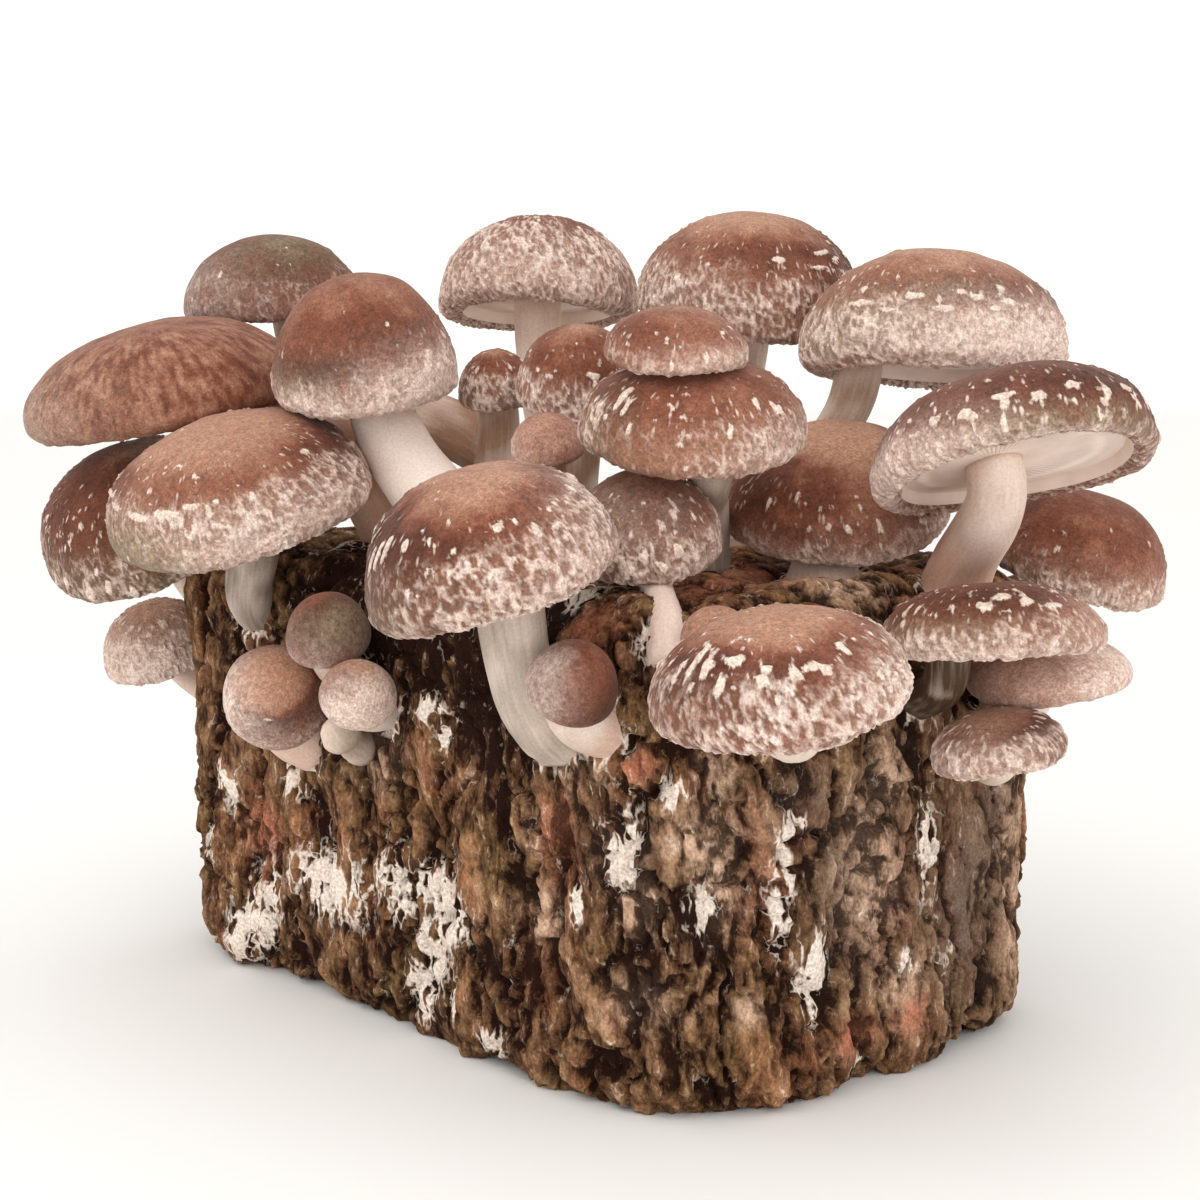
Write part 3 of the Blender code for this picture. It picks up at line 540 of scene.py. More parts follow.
def stem_material(settings):
    """Tough, fibrous stem flesh: matt cream with tan and reddish stains, finely streaked lengthwise,
    with grey that is partly painted shade and dark olive painted shade on stems in shadow.
    """
    made, tree, shader = new_material("shiitake_stem_flesh")
    keep = {name: add_node(tree, "Attribute", out="Fac", attribute_name=name)
            for name in ("tan", "red", "grey", "dim")}
    fibre_at = add_node(tree, "Attribute", out="Vector", attribute_name="fibre_at")
    place = add_node(tree, "TexCoord", out="Object")

    # Streaks about 1 mm wide and 8 mm long, and downy grains of 0.6 mm
    streak = add_node(tree, "TexNoise", {"Vector": fibre_at, "Scale": 1 / 1.1, "Detail": 3.0})
    grain = add_node(tree, "TexNoise", {"Vector": place, "Scale": 1 / (0.6 * MM), "Detail": 2.0})
    flesh = (*settings.flesh, 1)
    mixed = add_node(tree, "MapRange", (streak, 0.3, 0.7, 0.75, 1.2))
    for name, stain in keep.items():
        amount = add_node(tree, "Math", (stain, mixed), operation="MULTIPLY", use_clamp=True)
        flesh = add_node(tree, "Mix", {0: amount, 6: flesh, 7: (*getattr(settings, name), 1)}, **PAINT)
    speckle = add_node(tree, "MapRange", (grain, 0.25, 0.75, 0.88, 1.1))
    flesh = add_node(tree, "VectorMath", {0: flesh, 3: speckle}, operation="SCALE")
    height = add_node(tree, "Math", (streak, 0.6, grain), operation="MULTIPLY_ADD")
    bump = add_node(tree, "Bump", {"Height": height, "Strength": 0.4, "Distance": 0.3 * MM})
    set_inputs(tree, shader, {"Base Color": flesh, "Normal": bump, "Roughness": 0.66, "IOR": 1.4,
                              "Specular IOR Level": 0.4})
    return made


def block_material(settings):
    """Browned sawdust block: a crumbly, bark-like crust, nearly black in its cracks and light tan on
    its crests, in part its own colour and in part painted shade and painted light, darker still with
    painted shade under the front of the crop, stained red, olive and grey, with cream fungus breaking
    through in laces."""
    made, tree, shader = new_material("browned_block_skin")
    keep = {name: add_node(tree, "Attribute", out="Fac", attribute_name=name)
            for name in ("relief", "cream", "red", "grey", "tan")}
    place = add_node(tree, "TexCoord", out="Object")
    upright = add_node(tree, "VectorMath", (place, (1, 1, 0.4)), operation="MULTIPLY")

    # Crumbs of 1 to 3 mm and dust of 0.7 mm, over stains about 12 mm wide
    crumb = {"Vector": upright, "Scale": 1 / (2.4 * MM), "Detail": 6.0, "Roughness": 0.7, "Distortion": 0.6}
    crumb = add_node(tree, "TexNoise", crumb)
    stain = {name: add_node(tree, "TexNoise", {"Vector": at, "Scale": 1 / (size * MM), "Detail": 3.0})
             for name, at, size in (("ruddy", upright, 13), ("olive", place, 17), ("light", upright, 9))}
    dust = add_node(tree, "TexNoise", {"Vector": place, "Scale": 1 / (0.7 * MM), "Detail": 2.0})
    chip_at = {"Vector": upright, "Scale": 1 / (2.1 * MM)}
    chip = add_node(tree, "TexVoronoi", chip_at, out="Color")
    creases = add_node(tree, "TexVoronoi", chip_at, out="Distance", feature="DISTANCE_TO_EDGE")
    sway = add_node(tree, "TexNoise", {"Vector": upright, "Scale": 1 / (5 * MM), "Detail": 3.0}, out="Color")
    wavy = add_node(tree, "VectorMath", (sway, (9 * MM, 9 * MM, 9 * MM), upright), operation="MULTIPLY_ADD")
    wavy = {"Vector": wavy, "Scale": 1 / (4 * MM)}
    lace = add_node(tree, "TexVoronoi", wavy, out="Distance", feature="DISTANCE_TO_EDGE")
    lace = add_node(tree, "MapRange", (lace, 0.03, 0.3, 0.4, -0.5))

    grain = add_node(tree, "Math", (crumb, -0.5), operation="ADD")
    level = add_node(tree, "Math", (grain, 2.4, keep["relief"]), operation="MULTIPLY_ADD")
    level = add_node(tree, "Math", (chip, 0.3, level), operation="MULTIPLY_ADD")
    level = add_node(tree, "Math", (stain["light"], 1.0, level), operation="MULTIPLY_ADD")
    # Crack colour in the lows and crest colour in the highs: painted shade and painted light along with the
    # crust's own colour
    low = add_node(tree, "MapRange", (level, 0.62, 1.08, 0.0, 1.0))
    high = add_node(tree, "MapRange", (level, 1.08, 1.75, 0.0, 1.0))
    crust = add_node(tree, "Mix", {0: low, 6: (*settings.crack, 1), 7: (*settings.bark, 1)}, **PAINT)
    crust = add_node(tree, "Mix", {0: high, 6: crust, 7: (*settings.crest, 1)}, **PAINT)
    for name, shift in (("ruddy", (1.16, 0.86, 0.86)), ("olive", (0.88, 0.98, 0.84))):
        turned = add_node(tree, "VectorMath", (crust, shift), operation="MULTIPLY")
        amount = add_node(tree, "MapRange", (stain[name], 0.48, 0.64, 0.0, 0.7))
        crust = add_node(tree, "Mix", {0: amount, 6: crust, 7: turned}, **PAINT)
    for name, share in (("grey", 0.8), ("tan", 1.15), ("red", 0.95)):
        lit = add_node(tree, "MapRange", (level, 0.75, 1.5, 0.12, share))
        amount = add_node(tree, "Math", (keep[name], lit), operation="MULTIPLY", use_clamp=True)
        crust = add_node(tree, "Mix", {0: amount, 6: crust, 7: (*getattr(settings, name), 1)}, **PAINT)
    frayed = add_node(tree, "Math", (grain, 0.9, keep["cream"]), operation="MULTIPLY_ADD")
    frayed = add_node(tree, "Math", (frayed, lace), operation="ADD")
    fungus = add_node(tree, "MapRange", (frayed, 0.44, 0.76, 0.0, 0.95))
    crust = add_node(tree, "Mix", {0: fungus, 6: crust, 7: (*settings.cream, 1)}, **PAINT)
    speckle = add_node(tree, "MapRange", (dust, 0.3, 0.7, 0.68, 1.28))
    crust = add_node(tree, "VectorMath", {0: crust, 3: speckle}, operation="SCALE")
    height = add_node(tree, "Math", (crumb, 3.0, dust), operation="MULTIPLY_ADD")
    height = add_node(tree, "Math", (creases, 0.5, height), operation="MULTIPLY_ADD")
    bump = add_node(tree, "Bump", {"Height": height, "Strength": 0.7, "Distance": 0.6 * MM})
    set_inputs(tree, shader, {"Base Color": crust, "Normal": bump, "Roughness": 0.85, "IOR": 1.45,
                              "Specular IOR Level": 0.12})
    return made


def floor_material(settings):
    """Matt painted studio floor: even and pale, with the faint unevenness of a roller."""
    made, tree, shader = new_material("studio_floor_paint")
    place = add_node(tree, "TexCoord", out="Object")
    cloud = add_node(tree, "TexNoise", {"Vector": place, "Scale": 3.0, "Detail": 2.0})
    uneven = add_node(tree, "MapRange", (cloud, 0.0, 1.0, 0.985, 1.0))
    paint = add_node(tree, "VectorMath", {0: tuple(settings.floor), 3: uneven}, operation="SCALE")
    set_inputs(tree, shader, {"Base Color": paint, "Roughness": 0.9, "Specular IOR Level": 0.1})
    return made


# Shapes

def from_corner_view(across, away, up):
    """A place in the corner view's millimetres, in the block's own frame and in mm."""
    cos, sin = math.cos(CORNER_VIEW), math.sin(CORNER_VIEW)
    return Vector((across * cos - away * sin, across * sin + away * cos, up))


def ramp(values, low, high):
    """A soft step from 0 at low to 1 at high."""
    share = np.clip((values - low) / (high - low), 0, 1)
    return share * share * (3 - 2 * share)


def stretched(places, up):
    """The places with their heights scaled, so that a pattern on them is drawn out lengthwise."""
    return places * np.array((1, 1, up))


def polar(places):
    """Each place's angle about Z and its distance from it."""
    return np.arctan2(places[:, 1], places[:, 0]), np.hypot(places[:, 0], places[:, 1])


def wrapped(radius, angle, along):
    """Places on a plain tube that stand for a piece's skin, so that a pattern on them follows it."""
    return np.column_stack((radius * np.cos(angle), radius * np.sin(angle), along))


def sampled(places, size, measure=noise.noise):
    """A noise measured at each place, in mm, with lumps about size mm wide."""
    return np.fromiter(map(measure, map(Vector, (places / size).tolist())), float, len(places))


def swayed(places, size, offsets):
    """A rough shift of each place along each axis, from noises that start at the offsets."""
    return np.column_stack([sampled(places + offset, size, crumbs) for offset in offsets])


def cell_edge(place):
    """How far a place is from the edge of its cell, 0 on the edge."""
    near, next_one = noise.voronoi(place)[0][:2]
    return next_one - near


def crumbs(place):
    """Rough noise with finer and finer lumps."""
    return noise.fractal(place, 0.9, 2.1, 4)


def kept(mesh, name, values):
    """Keeps a number or a place for each point, for the materials to read."""
    is_place = values.ndim == 2
    layer = mesh.attributes.new(name, "FLOAT_VECTOR" if is_place else "FLOAT", "POINT")
    layer.data.foreach_set("vector" if is_place else "value", values.astype(np.float32).ravel())


def points_of(mesh, what="co"):
    """The mesh's points, or their normals, as rows."""
    flat = np.empty(len(mesh.vertices) * 3)
    mesh.vertices.foreach_get(what, flat)
    return flat.reshape(-1, 3)


def move_points(mesh, places):
    """Moves the mesh's points to the places in the rows."""
    mesh.vertices.foreach_set("co", places.ravel())
    mesh.update()


def add_piece(name, mesh, node, slot, *materials, within):
    """Adds a finished piece that stands for its CAD node, with its sides within so many mm of the node's."""
    mesh.shade_smooth()
    for finish in materials:
        mesh.materials.append(finish)
    piece = bpy.data.objects.new(name, mesh)
    bpy.context.scene.collection.objects.link(piece)
    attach(piece, "root")
    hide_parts(node)
    low, high = (np.array(corner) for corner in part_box(node))
    places = points_of(mesh)
    apart = max(np.abs(places.min(0) - low).max(), np.abs(places.max(0) - high).max())
    if apart > within * MM:
        raise RuntimeError(f"{name} and its solid are {apart / MM:.1f} mm apart")
    return piece


def rolled(profile, sides, along=None):
    """A closed shape of revolution about Z, from a row of radii and heights: a grid rolled up, then
    closed along its seam and at its poles."""
    shape = bmesh.new()
    layer = shape.verts.layers.float.new("along")
    rows = len(profile) - 1
    bmesh.ops.create_grid(shape, x_segments=sides, y_segments=rows, size=1)
    closing = []
    for vert in shape.verts:
        column, row = round((vert.co.x + 1) / 2 * sides) % sides, round((vert.co.y + 1) / 2 * rows)
        on_seam = abs(vert.co.x) > 1 - 0.5 / sides
        radius, height = profile[row]
        turn = math.tau * column / sides
        vert.co = (radius * math.cos(turn), radius * math.sin(turn), height)
        vert[layer] = row if along is None else along[row]
        if on_seam or radius == 0:
            closing.append(vert)
    bmesh.ops.remove_doubles(shape, verts=closing, dist=1e-5)
    bmesh.ops.recalc_face_normals(shape, faces=shape.faces)
    return shape


def finished(shape, name):
    """The shape as a named mesh."""
    mesh = bpy.data.meshes.new(name)
    shape.to_mesh(mesh)
    shape.free()
    return mesh


def one_column(mesh, name):
    """The number kept under that name for each of the mesh's points."""
    values = np.empty(len(mesh.vertices), np.float32)
    mesh.attributes[name].data.foreach_get("value", values)
    return values.astype(float)


# Caps

def cap_axis(mushroom):
    """The way that the cap's top faces."""
    right, away = (math.tan(math.radians(angle)) for angle in mushroom.lean)
    return from_corner_view(right, away, 1).normalized()


def cap_frame(mushroom):
    """The cap's own frame in mm: Z along its axis, X to the right of the corner view."""
    z = cap_axis(mushroom)
    x = from_corner_view(1, 0, 0)
    x = (x - z * x.dot(z)).normalized()
    turn = Matrix((x, z.cross(x), z)).transposed().to_4x4()
    turn.translation = from_corner_view(*mushroom.centre)
    return turn


def wave(number, angle):
    """How far the rim of mushroom number wanders at each angle: outwards, as a share, and up, in mm."""
    outwards = 0.6 * np.cos(2 * angle + 2.4 * number) + 0.4 * np.cos(3 * angle + 4.1 * number)
    upwards = np.cos(2 * angle + 1.7 * number) + 0.5 * np.cos(3 * angle + 0.9 * number)
    return 0.025 * outwards, 0.9 * upwards


def cap_rings(mushroom, spacing):
    """Radius and height in mm of each ring of a cap, and how far along it is: 0 to 1 from the top of
    the dome to the lowest point of the rim, 1 to 2 round the rim and 2 to 3 across the gills."""
    radius, curl = mushroom.diameter / 2, mushroom.curl
    line = []
    for turn in np.linspace(0, math.pi / 2, 160):
        line.append((radius * math.sin(turn) ** (2 / mushroom.flat), mushroom.dome * math.cos(turn)))
    for turn in np.linspace(0, math.pi / 2, 30)[1:]:
        line.append((radius - curl + curl * math.cos(turn), -curl * math.sin(turn)))
    line = np.array(line)
    steps = np.hypot(*np.diff(line, axis=0).T)
    far = np.concatenate(([0], np.cumsum(steps)))
    share = far / far[-1]
    coarse = np.where(share < MIDDLE_SHARE, MIDDLE_SPACING, 1.0)
    ticks = np.concatenate(([0], np.cumsum(steps / (spacing * coarse[1:]))))
    wanted = np.linspace(0, ticks[-1], max(14, round(ticks[-1])))
    along = np.interp(wanted, ticks, share)
    rings = [(np.interp(a, share, line[:, 0]), np.interp(a, share, line[:, 1]), a) for a in along]
    rings[0] = (0.0, mushroom.dome, 0.0)
    around = max(4, round(math.pi / 2 * curl / spacing))
    for step in range(1, around + 1):
        turn = math.pi / 2 * (1 + step / around)
        rings.append((radius - curl + curl * math.cos(turn), -curl * math.sin(turn), 1 + step / around))
    reach = radius - 2 * curl
    neck = min(mushroom.stem[2] / 2 + 0.6, reach * 0.8)
    for step in GILL_RINGS:
        rings.append((reach + (neck - reach) * step, 0.0, 2 + step))
    rings.append((0.0, 0.0, 3.5))
    return rings, far[-1]


def scattered_tufts(look, mushroom, rng):
    """Angle and share of each tuft, its half sizes in mm round the cap and down it, and how bold it is."""
    around = math.pi * mushroom.diameter
    tufts = []
    for _ in range(round(look.tufts * around * 0.45)):
        share = look.band + rng.normal(0.0, 0.12)
        size = rng.uniform(0.4, 1.15)
        stretch = rng.uniform(0.6, 3.5)
        tufts.append((rng.uniform(-math.pi, math.pi), share, size / stretch**0.5, size * stretch**0.5,
                      rng.uniform(0.4, 1.05)))
    for _ in range(round(look.tufts * around * 0.8)):
        share = look.band - abs(rng.normal(0.0, 0.16)) - 0.02
        size = rng.uniform(0.3, 0.6)
        tufts.append((rng.uniform(-math.pi, math.pi), share, size, size * rng.uniform(0.8, 1.5),
                      rng.uniform(0.4, 0.85)))
    for degrees, share, wide, tall in look.flaps:
        tufts.append((math.radians(degrees), share, wide / 2, tall / 2, 1.2))
    return tufts


def cap_marks(look, mushroom, number, along, angle, places, length_down, settings):
    """The marks of a cap's skin at each of its points, as numbers from 0 to 1 and over."""
    rng = np.random.default_rng(900 + number)
    radius = mushroom.diameter / 2
    shift = np.array((number * 31.7, number * 12.9, 4.1))
    skin_at = wrapped(radius, angle, along * length_down) + shift
    cover = sampled(places + shift, 7.0, crumbs)
    smudge = 1 + 0.6 * sampled(places + shift + 20, 5.0, crumbs)

    # Tints, each a soft spot, and the edge of the net, which wanders round the cap
    marks = dict.fromkeys(KINDS, np.zeros(len(along)))
    for kind, degrees, down, wide, tall, strength in look.tints:
        turn = (angle - math.radians(degrees) + math.pi) % math.tau - math.pi
        near = np.exp(-((turn / math.radians(wide)) ** 2) - ((along - down) / tall) ** 2)
        marks[kind] = np.maximum(marks[kind], strength * near)
    wander = sampled(places + shift + 40, 11.0) * 0.09 + sampled(skin_at, 4.0) * 0.07
    share = along + wander + marks["veil"]
    band = ramp(share, look.band - 0.1, look.band + 0.12)
    net = look.net * band * (0.85 + 0.5 * cover) * (1 + 0.25 * ramp(along, 0.85, 1.0)) * (1 - marks["bare"])

    # The strands of the net: the edges of drawn-out cells, bent by a slower noise
    spaces = stretched(skin_at, 0.6)
    bent_spaces = spaces + 1.1 * swayed(spaces, 3.5, (0.0, 40.0, 80.0))
    edge = sampled(bent_spaces, settings.strand_width / MM, cell_edge)
    strand = (1 - ramp(edge, 0.0, 0.28)) * (0.95 + 0.6 * sampled(skin_at + 7, 5.0))

    # Tufts and flaps, frayed at their edges
    tuft = np.zeros(len(along))
    _, far = polar(places)
    fray = 1 + 0.6 * sampled(places + shift, 1.6)
    for at, down, half_around, half_down, bold in scattered_tufts(look, mushroom, rng):
        turn = (angle - at + math.pi) % math.tau - math.pi
        apart = np.hypot(turn * far / half_around, (along - down) * length_down / half_down) * fray
        tuft = np.maximum(tuft, bold * (1 - ramp(apart, 0.4, 1.5)))
    tuft = np.where(along < TUFT_END, tuft, 0)

    # The brown ring, with its darker, tan and streaky places, and the flecks over it
    ring = ramp(share, look.start, look.start + 0.3)
    dark = look.dark * ring * (1 - 0.15 * band) + marks["deep"] * smudge - marks["tan"]
    streaks = sampled(stretched(skin_at, 0.42), 1.9, crumbs) * ramp(along, 0.05, 0.45)
    spots = sampled(places + shift, 5.0, crumbs)
    dark = dark + marks["streaky"] * (0.1 + 0.75 * streaks + 0.35 * spots)
    flecks = look.tufts * ramp(share, look.band - 0.4, look.band - 0.1) * (1 - 0.6 * band)
    made = {"net": net, "strand": strand, "tuft": tuft, "flecks": flecks, "dark": dark}
    made.update({name: marks[name] * smudge for name in ("olive", "grey", "pale", "pink")})

    # The inner part of the rim is plain, with a trace of the net
    inside = along > TINT_END
    for name, values in made.items():
        values[inside] = 0.25 if name == "net" else 0
    return {**made, "skin_at": skin_at}


def gill_folds(along, angle, sides):
    """How far each point lifts into its gill, from 0 to 1: every other side of the cap does, and every
    fourth one stops half way in."""
    side = np.round(angle / math.tau * sides).astype(int) % sides
    inwards = ramp(along, 2.02, 2.2) * (1 - ramp(along, 2.86, 3.0))
    short = np.where(side % 4 == 1, 1 - ramp(along, 2.3, 2.55), 1.0)
    return np.where((side % 2 == 1) & (along < 3.01), inwards * short, 0)


def paint_gills(mesh, along):
    """Gives the gill finish to the faces from the lower side of the rim inwards."""
    corners = np.empty(len(mesh.loops), int)
    mesh.loops.foreach_get("vertex_index", corners)
    starts = np.empty(len(mesh.polygons), int)
    mesh.polygons.foreach_get("loop_start", starts)
    first = np.minimum.reduceat(along[corners], starts)
    mesh.polygons.foreach_set("material_index", (first >= SKIN_END).astype(np.int32))


def make_cap(number, mushroom, settings, finishes):
    """One cap: its marked skin, rolled rim and gills, where its solid is."""
    look = LOOKS[mushroom.name]
    spacing = settings.spacing / MM * (1.0 if mushroom.diameter > SMALL_CAP else SMALL_SPACING)
    rings, length_down = cap_rings(mushroom, spacing)
    sides = 4 * max(18, round(math.pi * mushroom.diameter / spacing / 4))
    shape = rolled([ring[:2] for ring in rings], sides, [ring[2] for ring in rings])
    mesh = finished(shape, mushroom.name + "_cap")
    along = one_column(mesh, "along")
    places = points_of(mesh)
    angle, far = polar(places)
    radius = mushroom.diameter / 2
    share = np.minimum(1, far / radius)
    gill_reach = radius - 2 * mushroom.curl

    # The outline of the solid
    outwards, upwards = wave(number, angle)
    shaped = places.copy()
    shaped[:, :2] *= (1 + outwards * share**3)[:, None]
    shaped[:, 2] += upwards * share**3 * min(1, mushroom.diameter / 60)
    shaped[:, 0] += np.where(along >= 2, mushroom.side * (1 - far / gill_reach), 0)
    move_points(mesh, shaped)
    out = points_of(mesh, "normal")

    # Soft unevenness of the skin, then tufts, net and a frayed rim
    marks = cap_marks(look, mushroom, number, along, angle, places, length_down, settings)
    shift = np.array((number * 7.3, 3.7, 1.9))
    on_skin = np.where(along <= RELIEF_END, 1.0, 0.0)
    swell = 0.55 * sampled(places + shift, 15.0) + 0.3 * sampled(places + shift, 6.0)
    swell = swell * ramp(along, 0.0, 0.25) * min(1, mushroom.diameter / 40)
    small = min(1, mushroom.diameter / 34)
    relief = settings.tuft_height / MM * np.minimum(marks["tuft"], 1)
    relief = relief + 0.6 * (marks["strand"] - 0.4) * marks["net"]
    fray = 0.4 * sampled(stretched(marks["skin_at"], 0.15), 1.7) * ramp(along, 0.86, 1.0)
    shaped += out * ((swell + (relief + fray) * small) * on_skin)[:, None]

    # Gills, no deeper than the dome has room for
    depth = min(settings.gill_depth / MM, mushroom.dome * 0.22) * look.gills
    fold = gill_folds(along, angle, sides)
    shaped[:, 2] += depth * fold
    move_points(mesh, shaped)

    for name, values in marks.items():
        kept(mesh, name, values)
    # The folds between the gills, which the gill finish darkens with painted shade
    kept(mesh, "fold", fold * look.gills)
    paint_gills(mesh, along)
    mesh.transform(Matrix.Scale(MM, 4) @ cap_frame(mushroom))
    name = mushroom.name + "_cap"
    piece = add_piece(name + "_skin", mesh, name, "cap_skin", *finishes, within=3)
    mesh.set_sharp_from_angle(angle=math.radians(60))
    return piece


# Stems

def stem_line(mushroom):
    """The stem's middle line in mm from inside the block to the cap, as handles of a Bezier curve."""
    axis = cap_axis(mushroom)
    top = cap_frame(mushroom) @ Vector((mushroom.side, 0, 0))
    foot = from_corner_view(*mushroom.foot)
    rise = top - foot
    half = Vector((BLOCK_SIZE.x / 2, BLOCK_SIZE.y / 2, 0))
    nearest = [half.x - abs(foot.x), half.y - abs(foot.y), BLOCK_SIZE.z - foot.z]
    out = Vector((0, 0, 0))
    face = nearest.index(min(nearest))
    out[face] = 1 if face == 2 else math.copysign(1, foot[face])
    start = (out + rise.normalized()).normalized()
    handles = (foot, foot + start * rise.length * mushroom.bend, top - axis * rise.length * 0.38, top)
    return handles, start


def stem_radius(mushroom, share):
    """Radius in mm at a share of the way from foot to cap."""
    foot, middle, top = (diameter / 2 for diameter in mushroom.stem)
    lower = foot + (middle - foot) * np.sin(math.pi * np.clip(share, 0, 0.5))
    upper = middle + (top - middle) * (2 * np.clip(share, 0.5, 1) - 1) ** 2
    return np.where(share < 0.5, lower, upper)


def bent(handles, start, share, stem_length, far, angle):
    """Places of a straight stem's points once it follows its curve. Its foot, where share is below 0,
    runs straight on into the block."""
    curve = [np.array(handle) for handle in handles]
    t = np.linspace(0, 1, 240)[:, None]
    line = (1 - t) ** 3 * curve[0] + 3 * t * (1 - t) ** 2 * curve[1]
    line = line + 3 * t * t * (1 - t) * curve[2] + t**3 * curve[3]
    ways = np.gradient(line, axis=0)
    ways /= np.linalg.norm(ways, axis=1)[:, None]
    across = np.empty_like(ways)
    last = Vector(ways[0]).orthogonal().normalized()
    for row, way in enumerate(ways):
        way = Vector(way)
        last = (last - way * last.dot(way)).normalized()
        across[row] = last

    # Where each point is between two steps of the curve
    row = np.clip(share, 0, 1) * (len(line) - 1)
    low = np.clip(row.astype(int), 0, len(line) - 2)
    blend = (row - low)[:, None]
    middle, way, side = (steps[low] * (1 - blend) + steps[low + 1] * blend for steps in (line, ways, across))
    middle = middle + np.where(share < 0, share * stem_length, 0)[:, None] * np.array(start)
    around = np.cos(angle)[:, None] * side + np.sin(angle)[:, None] * np.cross(way, side)
    return middle + far[:, None] * around


def make_stem(number, mushroom, settings, finish):
    """One stem: a fibrous tube bent along its line, grown into the block below and the cap above."""
    handles, start = stem_line(mushroom)
    stem_length = (handles[3] - handles[0]).length
    sunk = settings.sunk / MM
    sections = max(14, round((stem_length + sunk) / STEM_STEP))
    shares = np.linspace(-sunk / stem_length, 1, sections)
    radii = stem_radius(mushroom, np.clip(shares, 0, 1))
    profile = [(0.0, shares[0])] + list(zip(radii, shares)) + [(0.0, shares[-1])]
    sides = settings.sides if mushroom.diameter > 20 else settings.sides * 2 // 3
    mesh = finished(rolled(profile, sides, [row[1] for row in profile]), mushroom.name + "_stem")
    share = one_column(mesh, "along")
    places = points_of(mesh)
    angle, far = polar(places)
    down = share * stem_length
    shift = np.array((number * 9.1, 5.0, number * 2.3))
    middle = float(radii.mean())
    round_at = wrapped(middle, angle, down / FIBRE_STRETCH) + shift

    # Not quite round, swollen at the foot, and ridged by its fibres
    uneven = 0.05 * np.cos(2 * angle + number) + 0.03 * np.cos(3 * angle + 2 * number + 0.1 * down)
    uneven = uneven + 0.06 * sampled(np.column_stack((places[:, :2], down / 2)) + shift, 6.0)
    ridges = settings.fibre / MM * (sampled(round_at, 1.5) + 0.6 * sampled(round_at, 0.8))
    foot_rough = 0.35 * sampled(np.column_stack((places[:, :2], down)) + shift, 2.2)
    foot_rough = foot_rough * (1 - ramp(share, 0.0, 0.3))
    wider = far * (1 + uneven) + np.where(far > 0.1, ridges + foot_rough, 0)
    placed = bent(handles, start, share, stem_length, wider, angle)
    move_points(mesh, placed)

    stain = STAINS.get(mushroom.name, Stain())
    cloud = sampled(placed + shift, 7.0)
    kept(mesh, "fibre_at", round_at)
    # Stains: the grey is partly painted shade and the dark olive is painted shade, for stems in shadow
    for name, strength in (
        ("tan", stain.tan * (0.75 + 1.1 * cloud)),
        ("red", stain.red * (1 - ramp(share + 0.12 * cloud, stain.reach * 0.55, stain.reach * 1.25))),
        ("grey", stain.grey * (0.8 + 0.5 * cloud)),
        ("dim", stain.dim * (0.85 + 0.5 * cloud)),
    ):
        kept(mesh, name, np.clip(strength, 0, 1))
    mesh.transform(Matrix.Scale(MM, 4))
    name = mushroom.name + "_stem"
    return add_piece(name + "_flesh", mesh, name, "stem_flesh", finish, within=14)


def make_knob(knob, finish):
    """A young knob: a downy ball on a short neck."""
    centre, foot = from_corner_view(*knob.centre), from_corner_view(*knob.foot)
    neck = (centre - foot).length
    foot_radius, radius = (diameter / 2 for diameter in knob.diameters)
    profile = [(0.0, -3.0), (foot_radius * 0.9, -3.0), (foot_radius, -1.0), (foot_radius * 0.95, 0.5)]
    for degrees in np.linspace(-42, 90, 22):
        turn = math.radians(degrees)
        profile.append((max(0.0, radius * math.cos(turn)), neck + radius * math.sin(turn)))
    profile[-1] = (0.0, neck + radius)
    mesh = finished(rolled(profile, 40), knob.name)
    places = points_of(mesh)
    out = points_of(mesh, "normal")
    places += out * (0.35 * sampled(places, 3.0) + 0.15 * sampled(places, 1.2))[:, None]
    move_points(mesh, places)
    angle, _ = polar(places)
    kept(mesh, "fibre_at", wrapped(radius, angle, places[:, 2] / 3))
    kept(mesh, "tan", np.full(len(places), 0.25))
    kept(mesh, "red", np.full(len(places), 0.1))
    # Grey on one side of the knob: painted shade
    kept(mesh, "grey", ramp(places[:, 0], -3.0, 3.0) * 0.7)
    kept(mesh, "dim", np.zeros(len(places)))
    turn = (centre - foot).normalized().to_track_quat("Z", "Y").to_matrix().to_4x4()
    turn.translation = foot
    mesh.transform(Matrix.Scale(MM, 4) @ turn)
    return add_piece(knob.name + "_flesh", mesh, knob.name, "cap_skin", finish, within=6)


# The block

def round_corners(places):
    """Moves the points of the plain box onto the box with round upright corners and round edges."""
    half = np.array(BLOCK_SIZE[:2]) / 2
    inner = np.clip(places[:, :2], -(half - CORNER_RADIUS), half - CORNER_RADIUS)
    out = places[:, :2] - inner
    reach = np.abs(out).max(1)
    flat = np.hypot(out[:, 0], out[:, 1])
    out *= np.where(flat > 0, reach / np.maximum(flat, 1e-9), 1)[:, None]
    height = BLOCK_SIZE.z
    top = places[:, 2] > height / 2
    edge = np.where(top, TOP_RADIUS, BASE_RADIUS)
    over = np.maximum(0, places[:, 2] - (height - edge)) + np.maximum(0, edge - places[:, 2])
    level = np.clip(places[:, 2], edge, height - edge)
    beyond = np.maximum(0, reach - (CORNER_RADIUS - edge))
    both = (over > 0) & (beyond > 0)
    shrink = np.where(both, np.maximum(over, beyond) / np.maximum(np.hypot(over, beyond), 1e-9), 1)
    kept_share = np.where(both, (reach - beyond + beyond * shrink) / np.maximum(reach, 1e-9), 1)
    out *= kept_share[:, None]
    return np.column_stack((inner + out, level + np.where(top, 1, -1) * over * shrink))


def lump(place):
    """How far the skin stands out at a place, in the solid's own lumps."""
    return noise.noise(place) + 0.5 * noise.noise(place * 2.1 + Vector((7, 3, 1)))


